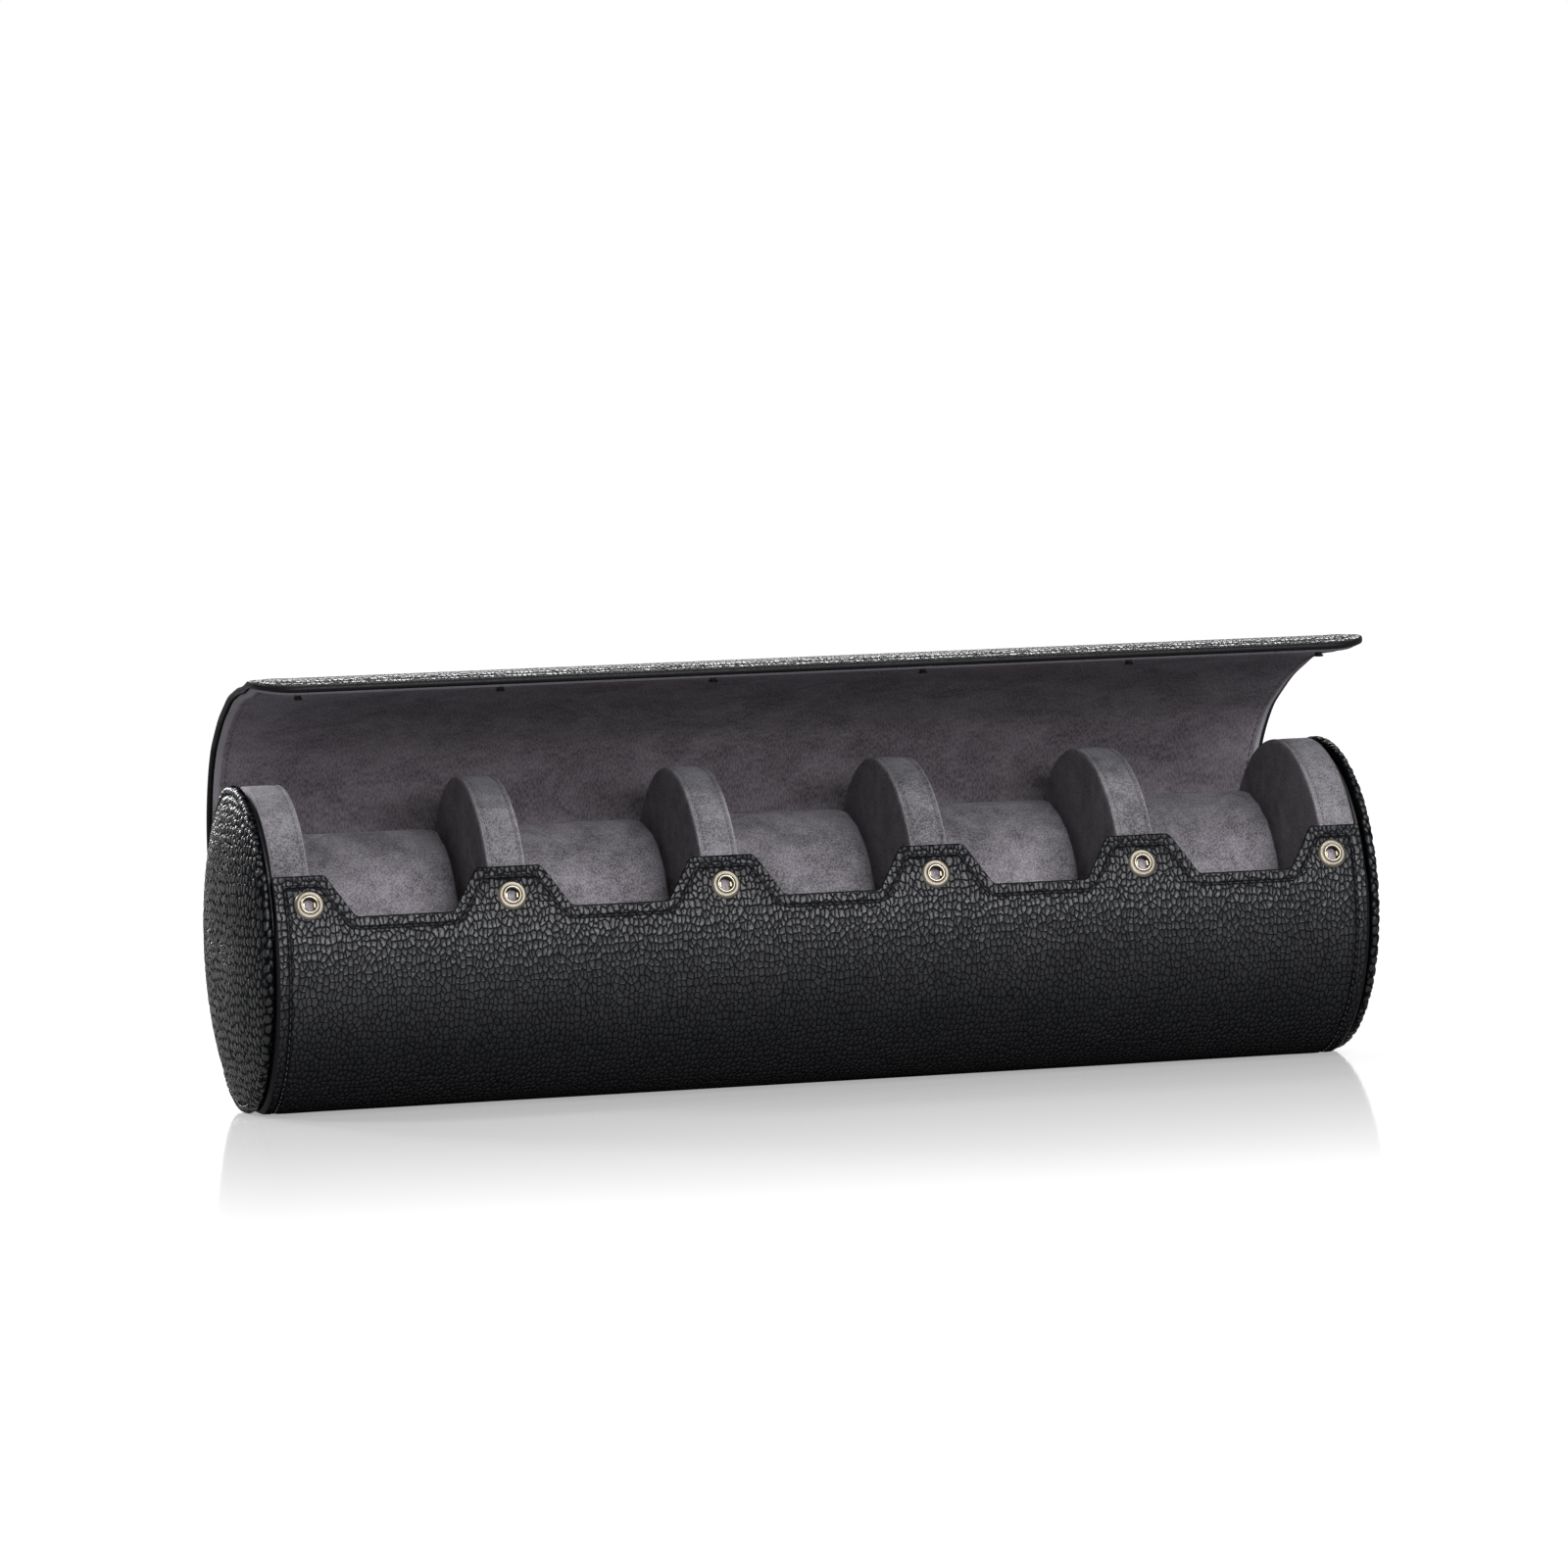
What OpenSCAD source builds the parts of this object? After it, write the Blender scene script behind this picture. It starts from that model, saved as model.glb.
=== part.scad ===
// Roll case for five wristwatches. A half-tube shell of leather, board and suede lining
// holds six round dividers and five lift-out cushions between two padded end caps.
// A flexible lid is hinged along the back, curls over the front and closes on six press studs.
//
// X runs along the case, the press studs are at the front (-Y), the hinge is at the back (+Y)
// and Z is up. The origin is on the table, below the middle of the shell's axis.
// Angles round the axis start at the front (0), pass the top (90) and reach the back at 180.

/* [Bays] */
// Clear width of one watch bay
bay_w = 58; // [54:1:64]
// Thickness of a divider
divider_t = 13; // [10:0.5:16]
// Thickness of the two dividers at the ends
end_divider_t = 11.5; // [10:0.5:16]
// Thickness of the suede that covers a divider
divider_suede_t = 0.8; // [0.5:0.1:1.2]
// How far the dividers stand above the shell's radius
divider_proud = 0.1; // [0:0.1:1]

/* [Shell] */
// Outer radius of the shell
shell_r = 54; // [52:0.5:57]
// Width of the flat strip that the shell stands on
foot_w = 26; // [20:1:30]
// Thickness of the shell's outer leather
leather_t = 1.4; // [1.1:0.1:1.7]
// Thickness of the shell's stiffening board
board_t = 1.6; // [1.2:0.1:2]
// Thickness of the suede lining
lining_t = 0.8; // [0.6:0.1:1]
// Angle at which the shell's back edge ends
back_edge_a = 193; // [192:0.5:200]

/* [Scalloped front edge] */
// Height of the tab tops above the axis
tab_top_h = 26; // [24:0.5:28]
// Depth of the notches between the tabs
notch_depth = 13.7; // [11:0.1:15]
// Width of a notch along its bottom
notch_w = 32; // [28:0.5:34]
// How far each side of a notch slopes outwards
notch_slope = 8.8; // [6:0.2:9.6]
// Corner radius of the tabs and notches
tab_corner_r = 2; // [1:0.5:3]

/* [End caps] */
// Radius of the piping between a cap and the shell
piping_r = 1; // [0.8:0.1:1.2]
// Thickness of a cap's board outside the shell
cap_board_t = 2.2; // [2:0.1:3]
// Thickness of a cap's leather
cap_leather_t = 1.4; // [1.1:0.1:1.7]
// Width of the rim round a cap's padded face
cap_rim_w = 3.5; // [2.5:0.5:5]
// Height of the padding under a cap's face
cap_padding_h = 7; // [5:0.5:8]
// How far the middle of a cap lies above the shell's axis
cap_lift = 1; // [0:0.1:1.2]

/* [Cushions] */
// Longer width of a cushion's oval section
cushion_long = 66; // [62:1:70]
// Shorter width of a cushion's oval section
cushion_short = 57; // [52:1:60]
// Height of a cushion's middle above the axis
cushion_h = 6.3; // [3:0.1:8]
// Gap between a cushion and the lining behind it
cushion_back_gap = 2.8; // [1.5:0.1:5]
// Gap between a cushion and each divider
cushion_side_gap = 0.4; // [0.3:0.1:1.5]
// Thickness of a cushion's suede cover
cushion_suede_t = 0.8; // [0.5:0.1:1.2]

/* [Lid] */
// How far the lid's front edge reaches past each end of the shell
lid_overhang = 4.5; // [2:0.5:6]
// How far the lid reaches past each end of the shell at the hinge
lid_hinge_overhang = 0; // [-1:0.5:2]
// Thickness of the lid's leather
lid_leather_t = 1.4; // [1.1:0.1:1.7]
// Thickness of the lid's stiffening board
lid_board_t = 1.2; // [1:0.1:1.5]
// Thickness of the lid's padded lining
lid_lining_t = 1.6; // [1.2:0.1:2]
// Angle of the closed lid's front edge
lid_edge_a = 7; // [5:0.5:9]
// Corner radius at the lid's front
lid_corner_r = 6; // [4:0.5:8]
// Clearance between the closed lid and the divider tops
lid_top_gap = 1.2; // [0.8:0.1:2]
// Clearance between the closed lid and the end caps at the hinge
lid_cap_gap = 0.8; // [0.5:0.1:1.5]
// Width of the leather hinge strip on the shell
hinge_strip_w = 14; // [10:1:20]
// Thickness of the leather hinge strip
hinge_strip_t = 1.2; // [0.9:0.1:1.4]

/* [Press studs] */
// Radius of a socket's flange
socket_r = 5; // [4.5:0.1:5.5]
// Height of a socket above the leather
socket_h = 0.95; // [0.7:0.05:1.2]
// Radius of a socket's hole
socket_hole_r = 2.2; // [2:0.05:2.4]
// Angle of the press studs above the horizontal
snap_a = 18.4; // [17.6:0.1:19]
// Distance of the outer press studs from the shell's ends
snap_end_inset = 10.7; // [10:0.1:13]
// Radius of a stud's neck
stud_neck_r = 1.15; // [0.9:0.05:1.3]
// Radius of a stud's base on the lining
stud_base_r = 2.8; // [2.4:0.1:3.2]
// Clearance between a closed stud's base and its socket
stud_gap = 0.35; // [0.3:0.05:0.6]

/* [Hidden] */
$fn = 96;

// Number of watch bays
bays = 5;
// Gap between an end divider and the end of the shell
end_gap = 1;
// Clearance of pieces that are glued or sewn into the shell
seat_gap = 0.1;
// Clearance between an end cap and the table
cap_floor_gap = 0.2;
// Margin in which the leather and lining are sewn without the board
sewing_margin = 4;

// Shell
pitch = bay_w + divider_t;
shell_l = bays * bay_w + (bays - 1) * divider_t + 2 * end_divider_t + 2 * end_gap;
axis_h = sqrt(shell_r * shell_r - foot_w * foot_w / 4);
board_r = shell_r - leather_t;
lining_r = board_r - board_t;
inner_r = lining_r - lining_t;
wall_t = shell_r - inner_r;
tab_inner_r = board_r - lining_t;
back_edge_h = shell_r * sin(back_edge_a);
notch_h = tab_top_h - notch_depth;
far = 3 * shell_r;

// Dividers: a lower round that fits the lining and an upper one that fits the tabs and the lid
divider_top_h = shell_r + divider_proud;
low_r = inner_r - seat_gap;
tab_fit_r = tab_inner_r - 1.5 * seat_gap;
upper_c = (divider_top_h * divider_top_h - tab_fit_r * tab_fit_r) / (2 * (divider_top_h - tab_top_h));
upper_r = divider_top_h - upper_c;
rounds_meet_h = (low_r * low_r - upper_r * upper_r + upper_c * upper_c) / (2 * upper_c);
divider_flat_h = wall_t + seat_gap - axis_h;
board_top_h = min(notch_h - sewing_margin, rounds_meet_h - lining_t - seat_gap);

// End caps
cap_r = axis_h + cap_lift - cap_floor_gap;
cap_board_r = min(cap_r - 2 * piping_r - cap_leather_t - 3 * seat_gap, axis_h - wall_t - seat_gap) - cap_lift;
cap_sleeve_r = cap_board_r + cap_leather_t;
cap_rim_x = max(2 * piping_r, cap_board_t - 0.2);
cap_face_x = cap_board_t + cap_leather_t;
cap_pillow_r = cap_r - cap_rim_w;
pillow_steps = 12;
pillow_fullness = 3;

// Cushions
cushion_tilt = 50;
cushion_w = bay_w - 2 * cushion_side_gap;
cushion_reach = sqrt(pow(cushion_long * cos(cushion_tilt), 2) + pow(cushion_short * sin(cushion_tilt), 2)) / 2;
cushion_y = inner_r - cushion_back_gap - cushion_reach;
cushion_steps = 48;

// Lid: a round through three points, over the sockets, the divider tops and the hinge
hinge_a = 190;
hinge_gap_a = 3;
lid_over_socket = polar(shell_r + socket_h + stud_gap, snap_a);
lid_over_dividers = [0, divider_top_h + lid_top_gap];
lid_at_hinge = polar(cap_r + lid_cap_gap, hinge_a);
lid_c = centre_of(lid_over_socket, lid_over_dividers, lid_at_hinge);
lid_lining_r = norm(lid_over_dividers - lid_c);
lid_board_r = lid_lining_r + lid_lining_t;
lid_leather_r = lid_board_r + lid_board_t;
lid_r = lid_leather_r + lid_leather_t;
bend_rear_a = 80;
bend_front_a = 45;
bend_gap_a = 0.25;
// How far the lid stands open and its front part lies flattened out
lid_open = 20;
bend_rear_open = 19;
bend_front_open = 29;
hinge_p = lid_c + polar(lid_r, hinge_a);
bend_rear_p = lid_c + polar(lid_r, bend_rear_a);
bend_front_p = lid_c + polar(lid_r, bend_front_a);

// Press studs, measured outwards from the leather's face
snap_seat = -0.3;
socket_wall = 0.6;
post_t = 0.5;
post_r = 4.2;
post_z = sqrt(tab_inner_r * tab_inner_r - post_r * post_r) - shell_r - seat_gap / 2;
socket_bottom = post_z + 1;
spring_w = 0.5;
spring_h = 0.4;
spring_z = -0.6;
spring_x = socket_hole_r - spring_w - 0.15;
stud_head_r = spring_x + 0.05;
stud_head_z = spring_z - 0.75;
stud_base_z = socket_h + stud_gap;
stud_base_t = 0.5;
stud_back_r = 4;
stud_back_t = 0.5;

// A point at radius r and angle a round the axis, as [y, z]
function polar(r, a) = [-r * cos(a), r * sin(a)];

// The centre of the circle through three points
function centre_of(p, q, s) =
  let (
    d = 2 * (p[0] * (q[1] - s[1]) + q[0] * (s[1] - p[1]) + s[0] * (p[1] - q[1])),
    pp = p * p,
    qq = q * q,
    ss = s * s
  )
  [
    (pp * (q[1] - s[1]) + qq * (s[1] - p[1]) + ss * (p[1] - q[1])) / d,
    (pp * (s[0] - q[0]) + qq * (p[0] - s[0]) + ss * (q[0] - p[0])) / d
  ];

// Corner b of the path a-b-c, rounded to radius r with steps + 1 points
function rounded(a, b, c, r, steps = 4) =
  let (
    u = (a - b) / norm(a - b),
    v = (c - b) / norm(c - b),
    half = acos(u * v) / 2,
    m = b + (u + v) / norm(u + v) * r / sin(half),
    p = b + u * r / tan(half) - m,
    turn = (cross(u, v) > 0 ? -1 : 1) * (180 - 2 * half)
  )
  [for (i = [0:steps]) let (t = turn * i / steps)
    m + [p[0] * cos(t) - p[1] * sin(t), p[0] * sin(t) + p[1] * cos(t)]];

function bay_x(i) = (i - (bays - 1) / 2) * pitch;
function is_end(i) = i == 0 || i == bays;
function divider_w(i) = is_end(i) ? end_divider_t : divider_t;
function divider_x(i) =
  is_end(i) ? sign(i - bays / 2) * (shell_l / 2 - end_gap - end_divider_t / 2) : (i - bays / 2) * pitch;
function snap_x(i) =
  is_end(i) ? sign(i - bays / 2) * (shell_l / 2 - snap_end_inset) : divider_x(i);

// Half the lid's length at angle a: it grows evenly from the hinge to the front edge
function lid_half(a) =
  shell_l / 2 + lid_hinge_overhang
    + (lid_overhang - lid_hinge_overhang) * (hinge_a - a) / (hinge_a - lid_edge_a);

// Lays a section drawn in Y and Z out along X, round the shell's axis
module along_x(x0, x1) {
  translate([x0, 0, axis_h])
    rotate([90, 0, 90])
      linear_extrude(x1 - x0)
        children();
}

// The shell's section at radius r, with its flat foot
module shell_round(r) {
  intersection() {
    circle(r);
    translate([-far, shell_r - r - axis_h]) square(2 * far);
  }
}

module shell_ring(outer, inner) {
  difference() {
    shell_round(outer);
    shell_round(inner);
  }
}

// Everything below front_h at the front and below the shell's edge at the back
module below_edges(front_h) {
  translate([-far, -far]) square([far, far + front_h]);
  translate([0, -far]) square([far, far + back_edge_h]);
}

// The notches of the front edge, drawn in X and Z and cut through along Y
module notches(margin) {
  for (i = [0:bays - 1]) {
    bottom = [notch_w / 2 + margin, notch_h - margin];
    top = [bottom[0] + notch_slope, tab_top_h - margin];
    beyond = [top[0] + shell_r, top[1]];
    sky = [top[0] + shell_r, 2 * tab_top_h];
    right = concat(
      rounded([0, bottom[1]], bottom, top, tab_corner_r),
      rounded(bottom, top, beyond, tab_corner_r));
    // Clipped at the middle of each tab, so that its top stays
    translate([bay_x(i), 0, axis_h])
      rotate([90, 0, 0])
        linear_extrude(far)
          intersection() {
            polygon(concat(
              right,
              [beyond, sky, [-sky[0], sky[1]], [-beyond[0], beyond[1]]],
              [for (k = [len(right) - 1:-1:0]) [-right[k][0], right[k][1]]]));
            translate([-top[0] - tab_corner_r, 0]) square([2 * (top[0] + tab_corner_r), 2 * tab_top_h]);
          }
  }
}

// Places what is drawn round Z at each press stud, pointing outwards
module at_snaps() {
  for (i = [0:bays])
    translate([snap_x(i), 0, axis_h])
      rotate([90 - snap_a, 0, 0])
        translate([0, 0, shell_r])
          children();
}

module case_leather() {
  color("#1b1c20")
    difference() {
      along_x(-shell_l / 2, shell_l / 2)
        intersection() {
          shell_ring(shell_r, board_r);
          below_edges(tab_top_h);
        }
      notches(0);
      at_snaps() {
        translate([0, 0, snap_seat]) cylinder(r = socket_r + seat_gap, h = shell_r);
        translate([0, 0, 2 * post_z]) cylinder(r = socket_hole_r + socket_wall + seat_gap, h = shell_r);
      }
    }
}

module case_board() {
  color("#8d8168")
    along_x(-shell_l / 2, shell_l / 2)
      intersection() {
        shell_ring(board_r, lining_r);
        below_edges(board_top_h);
      }
}

module case_lining() {
  color("#5d565c")
    difference() {
      along_x(-shell_l / 2, shell_l / 2) {
        intersection() {
          shell_ring(lining_r, inner_r);
          below_edges(board_top_h + lining_t);
        }
        intersection() {
          shell_ring(board_r, inner_r);
          translate([-far, board_top_h]) square([far, lining_t]);
        }
        intersection() {
          shell_ring(board_r, tab_inner_r);
          translate([-far, board_top_h]) square([far, tab_top_h - board_top_h]);
        }
      }
      notches(0);
      at_snaps()
        translate([0, 0, 2 * post_z]) cylinder(r = socket_hole_r + socket_wall + seat_gap, h = shell_r);
    }
}

// Strip of leather sewn to the shell's back, from which the lid hangs
module hinge_leather() {
  top_a = back_edge_a - 1.5;
  turn = hinge_strip_w / shell_r * 180 / PI;
  color("#1b1c20")
    along_x(-shell_l / 2, shell_l / 2)
      sector(shell_r, shell_r + hinge_strip_t, top_a, top_a + turn);
}

// A ring from radius r0 to r1, kept between two angles less than 180 degrees apart
module sector(r0, r1, a0, a1) {
  reach = 2 * r1 / cos((a1 - a0) / 4);
  intersection() {
    difference() {
      circle(r1);
      circle(r0);
    }
    polygon([[0, 0], polar(reach, a0), polar(reach, (a0 + a1) / 2), polar(reach, a1)]);
  }
}

// A cap's own frame: Z points out of the shell, 0 is the shell's end
module at_end(side) {
  translate([side * shell_l / 2, 0, axis_h + cap_lift])
    rotate([0, side * 90, 0])
      children();
}

// A round pillow of radius r and height h, fuller towards its rim than a ball would be
module pillow(r, h) {
  rotate_extrude()
    polygon(concat([[0, 0]], [for (k = [0:pillow_steps]) let (a = 90 * (1 - k / pillow_steps))
      [r * sin(a), h * (1 - pow(sin(a), pillow_fullness))]]));
}

module cap_board(side) {
  color("#8d8168")
    at_end(side)
      translate([0, 0, -end_gap]) cylinder(r = cap_board_r, h = end_gap + cap_board_t);
}

module cap_padding(side) {
  color("#d8d2c0")
    at_end(side)
      translate([0, 0, cap_board_t]) pillow(cap_pillow_r - cap_leather_t, cap_padding_h);
}

module cap_leather(side) {
  color("#17181c")
    at_end(side)
      difference() {
        union() {
          cylinder(r = cap_sleeve_r, h = cap_face_x);
          translate([0, 0, cap_rim_x]) cylinder(r = cap_r, h = cap_face_x - cap_rim_x);
          translate([0, 0, cap_face_x]) pillow(cap_pillow_r, cap_padding_h);
        }
        translate([0, 0, -end_gap]) cylinder(r = cap_board_r, h = end_gap + cap_board_t);
        translate([0, 0, cap_board_t]) pillow(cap_pillow_r - cap_leather_t, cap_padding_h);
      }
}

module cap_piping(side) {
  color("#101114")
    at_end(side)
      rotate_extrude()
        translate([cap_sleeve_r + piping_r, piping_r]) circle(piping_r);
}

// A divider's outline, drawn in Y and Z and taken in by inset
module divider_outline(inset) {
  intersection() {
    union() {
      circle(low_r - inset);
      intersection() {
        translate([0, upper_c]) circle(upper_r - inset);
        translate([-far, 0]) square([2 * far, far]);
      }
    }
    translate([-far, divider_flat_h + inset]) square(2 * far);
  }
}

module divider_core(i) {
  color("#cfc7b4")
    along_x(divider_x(i) - divider_w(i) / 2 + divider_suede_t, divider_x(i) + divider_w(i) / 2 - divider_suede_t)
      divider_outline(divider_suede_t);
}

module divider_faces(i) {
  color("#4f494e")
    for (x0 = [divider_x(i) - divider_w(i) / 2, divider_x(i) + divider_w(i) / 2 - divider_suede_t])
      along_x(x0, x0 + divider_suede_t) divider_outline(divider_suede_t);
}

module divider_band(i) {
  color("#665f66")
    along_x(divider_x(i) - divider_w(i) / 2, divider_x(i) + divider_w(i) / 2)
      difference() {
        divider_outline(0);
        divider_outline(divider_suede_t);
      }
}

// A cushion's oval section, taken in by inset, in its place in the shell
module cushion_oval(inset) {
  translate([cushion_y, cushion_h])
    rotate(cushion_tilt)
      polygon([for (k = [0:cushion_steps - 1]) let (a = 360 * k / cushion_steps)
        [(cushion_long / 2 - inset) * cos(a), (cushion_short / 2 - inset) * sin(a)]]);
}

// A cushion taken in by inset on every side
module cushion_block(i, inset) {
  half = cushion_w / 2 - inset;
  along_x(bay_x(i) - half, bay_x(i) + half) cushion_oval(inset);
}

module cushion_core(i) {
  color("#d8d2c0") cushion_block(i, cushion_suede_t);
}

module cushion_cover(i) {
  color("#665f66")
    difference() {
      cushion_block(i, 0);
      cushion_block(i, cushion_suede_t);
    }
}

// Turns its children about an axis along X through point p of the section, opening by angle a
module open_about(p, a) {
  translate([0, p[0], axis_h + p[1]])
    rotate([-a, 0, 0])
      translate([0, -p[0], -axis_h - p[1]])
        children();
}

module lid_back_at_rest() {
  open_about(hinge_p, lid_open) children();
}

module lid_middle_at_rest() {
  lid_back_at_rest()
    open_about(bend_rear_p, bend_rear_open) children();
}

module lid_front_at_rest() {
  lid_middle_at_rest()
    open_about(bend_front_p, bend_front_open) children();
}

// A strip of the closed lid between radii r0 and r1 and angles a0 and a1, less than 180 degrees apart.
// Its ends are cut straight, so that it is as long as the lid at both angles
module lid_strip(r0, r1, a0, a1, margin = 0) {
  h0 = lid_c[1] + lid_r * sin(a0);
  h1 = lid_c[1] + lid_r * sin(a1);
  slope = (lid_half(a1) - lid_half(a0)) / (h1 - h0);
  low = lid_half(a0) - margin - slope * (far + h0);
  high = lid_half(a0) - margin + slope * (far - h0);
  intersection() {
    along_x(-shell_l, shell_l)
      translate(lid_c)
        sector(r0, r1, a0, a1);
    translate([0, far, axis_h])
      rotate([90, 0, 0])
        linear_extrude(2 * far)
          polygon([[-low, -far], [low, -far], [high, far], [-high, far]]);
  }
}

module lid_back(r0, r1, margin = 0) {
  lid_back_at_rest()
    lid_strip(r0, r1, bend_rear_a + bend_gap_a, hinge_a - hinge_gap_a, margin);
}

module lid_middle(r0, r1, margin = 0) {
  lid_middle_at_rest()
    lid_strip(r0, r1, bend_front_a + bend_gap_a, bend_rear_a - bend_gap_a, margin);
}

// What rounds the lid's two front corners off, drawn in X and Z and cut through along Y
module lid_corners(margin) {
  edge_h = lid_c[1] + lid_r * sin(lid_edge_a) + margin;
  for (side = [-1, 1])
    translate([side * (lid_half(lid_edge_a) - lid_corner_r), 0, axis_h + edge_h + lid_corner_r])
      rotate([90, 0, 0])
        linear_extrude(far)
          difference() {
            translate([side > 0 ? 0 : -far, -far]) square(far);
            circle(lid_corner_r - margin);
          }
}

module lid_front(r0, r1, margin = 0) {
  margin_a = margin / r1 * 180 / PI;
  difference() {
    lid_strip(r0, r1, lid_edge_a + margin_a, bend_front_a - bend_gap_a, margin);
    lid_corners(margin);
  }
}

module lid_back_leather() {
  color("#1b1c20") lid_back(lid_leather_r, lid_r);
}

module lid_back_board() {
  color("#8d8168") lid_back(lid_board_r, lid_leather_r, lid_leather_t);
}

module lid_back_lining() {
  color("#5d565c") lid_back(lid_lining_r, lid_board_r);
}

module lid_middle_leather() {
  color("#1b1c20") lid_middle(lid_leather_r, lid_r);
}

module lid_middle_board() {
  color("#8d8168") lid_middle(lid_board_r, lid_leather_r, lid_leather_t);
}

module lid_middle_lining() {
  color("#5d565c") lid_middle(lid_lining_r, lid_board_r);
}

module lid_front_leather() {
  color("#1b1c20") lid_front_at_rest() lid_front(lid_leather_r, lid_r);
}

module lid_front_board() {
  color("#8d8168")
    lid_front_at_rest()
      difference() {
        lid_front(lid_board_r, lid_leather_r, lid_leather_t);
        stud_holes(stud_back_r + seat_gap);
      }
}

module lid_front_lining() {
  color("#5d565c")
    lid_front_at_rest()
      difference() {
        lid_front(lid_lining_r, lid_board_r);
        stud_holes(stud_neck_r + seat_gap);
        at_snaps() cylinder(r = stud_base_r + seat_gap, h = stud_base_z + stud_base_t);
      }
}

// Holes through the lid at the press studs
module stud_holes(r) {
  at_snaps() cylinder(r = r, h = shell_r / 2);
}

// Nickel socket with a domed flange and a raised ring round its hole
module snap_sockets() {
  wall_r = socket_hole_r + socket_wall;
  ring_h = 0.15;
  color("#c9c4b8")
    at_snaps()
      rotate_extrude()
        polygon([
          [socket_hole_r, socket_bottom],
          [socket_hole_r, socket_h - ring_h],
          [socket_hole_r + ring_h, socket_h],
          [wall_r, socket_h],
          [wall_r + ring_h, socket_h - ring_h],
          [wall_r + 4 * ring_h, socket_h - ring_h],
          [socket_r - 0.5, socket_h / 2],
          [socket_r, 0.1],
          [socket_r, snap_seat],
          [wall_r, snap_seat],
          [wall_r, socket_bottom]
        ]);
}

// The two legs of the wire spring that grips a stud's neck
module snap_springs() {
  leg_l = 2 * sqrt(pow(socket_hole_r, 2) - pow(spring_x + spring_w, 2)) - 0.1;
  color("#b9a574")
    at_snaps()
      for (side = [-1, 1])
        translate([side * (spring_x + spring_w / 2) - spring_w / 2, -leg_l / 2, spring_z])
          cube([spring_w, leg_l, spring_h]);
}

// Post that rivets a socket from behind the lining
module socket_posts() {
  color("#a9a59a")
    at_snaps()
      difference() {
        union() {
          translate([0, 0, post_z - post_t]) cylinder(r = post_r, h = post_t);
          translate([0, 0, post_z]) cylinder(r = socket_hole_r + socket_wall, h = socket_bottom - post_z);
        }
        translate([0, 0, post_z]) cylinder(r = socket_hole_r - 0.1, h = shell_r);
      }
}

// Stud with a round head that snaps into a socket
module snap_studs() {
  color("#3a3836")
    lid_front_at_rest()
      at_snaps()
        rotate_extrude()
          polygon([
            [0, stud_head_z],
            [stud_head_r - 0.2, stud_head_z],
            [stud_head_r, stud_head_z + 0.2],
            [stud_head_r, spring_z - 0.25],
            [stud_neck_r, spring_z - 0.05],
            [stud_neck_r, stud_base_z],
            [stud_base_r, stud_base_z],
            [stud_base_r, stud_base_z + stud_base_t],
            [stud_neck_r, stud_base_z + stud_base_t],
            [stud_neck_r, stud_base_z + lid_lining_t],
            [0, stud_base_z + lid_lining_t]
          ]);
}

// Rivet head that holds a stud, in the lid's board
module stud_backs() {
  color("#a9a59a")
    lid_front_at_rest()
      at_snaps()
        translate([0, 0, stud_base_z + lid_lining_t + 0.15]) cylinder(r = stud_back_r, h = stud_back_t);
}

case_leather();
case_board();
case_lining();
hinge_leather();
cap_board(-1);  // left_cap_board
cap_padding(-1);  // left_cap_padding
cap_leather(-1);  // left_cap_leather
cap_piping(-1);  // left_cap_piping
cap_board(1);  // right_cap_board
cap_padding(1);  // right_cap_padding
cap_leather(1);  // right_cap_leather
cap_piping(1);  // right_cap_piping
divider_core(0);  // divider_1_core
divider_faces(0);  // divider_1_faces
divider_band(0);  // divider_1_band
divider_core(1);  // divider_2_core
divider_faces(1);  // divider_2_faces
divider_band(1);  // divider_2_band
divider_core(2);  // divider_3_core
divider_faces(2);  // divider_3_faces
divider_band(2);  // divider_3_band
divider_core(3);  // divider_4_core
divider_faces(3);  // divider_4_faces
divider_band(3);  // divider_4_band
divider_core(4);  // divider_5_core
divider_faces(4);  // divider_5_faces
divider_band(4);  // divider_5_band
divider_core(5);  // divider_6_core
divider_faces(5);  // divider_6_faces
divider_band(5);  // divider_6_band
cushion_core(0);  // cushion_1_core
cushion_cover(0);  // cushion_1_cover
cushion_core(1);  // cushion_2_core
cushion_cover(1);  // cushion_2_cover
cushion_core(2);  // cushion_3_core
cushion_cover(2);  // cushion_3_cover
cushion_core(3);  // cushion_4_core
cushion_cover(3);  // cushion_4_cover
cushion_core(4);  // cushion_5_core
cushion_cover(4);  // cushion_5_cover
lid_back_leather();
lid_back_board();
lid_back_lining();
lid_middle_leather();
lid_middle_board();
lid_middle_lining();
lid_front_leather();
lid_front_board();
lid_front_lining();
snap_sockets();
snap_springs();
socket_posts();
snap_studs();
stud_backs();
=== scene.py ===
"""Looks of a leather roll case for five wristwatches, built round its fixed CAD frame.

A pebbled leather shell with a scalloped front edge, padded end caps, suede dividers and cushions,
and a flexible lid that curls over the front and closes on six press studs.
Sizes are in millimetres. Angles round the case start at the front (0), pass the top (90)
and reach the back at 180, as they do in the CAD source.
"""

import math

import bmesh
import bpy
import numpy as np
from mathutils import Matrix, Vector


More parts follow.
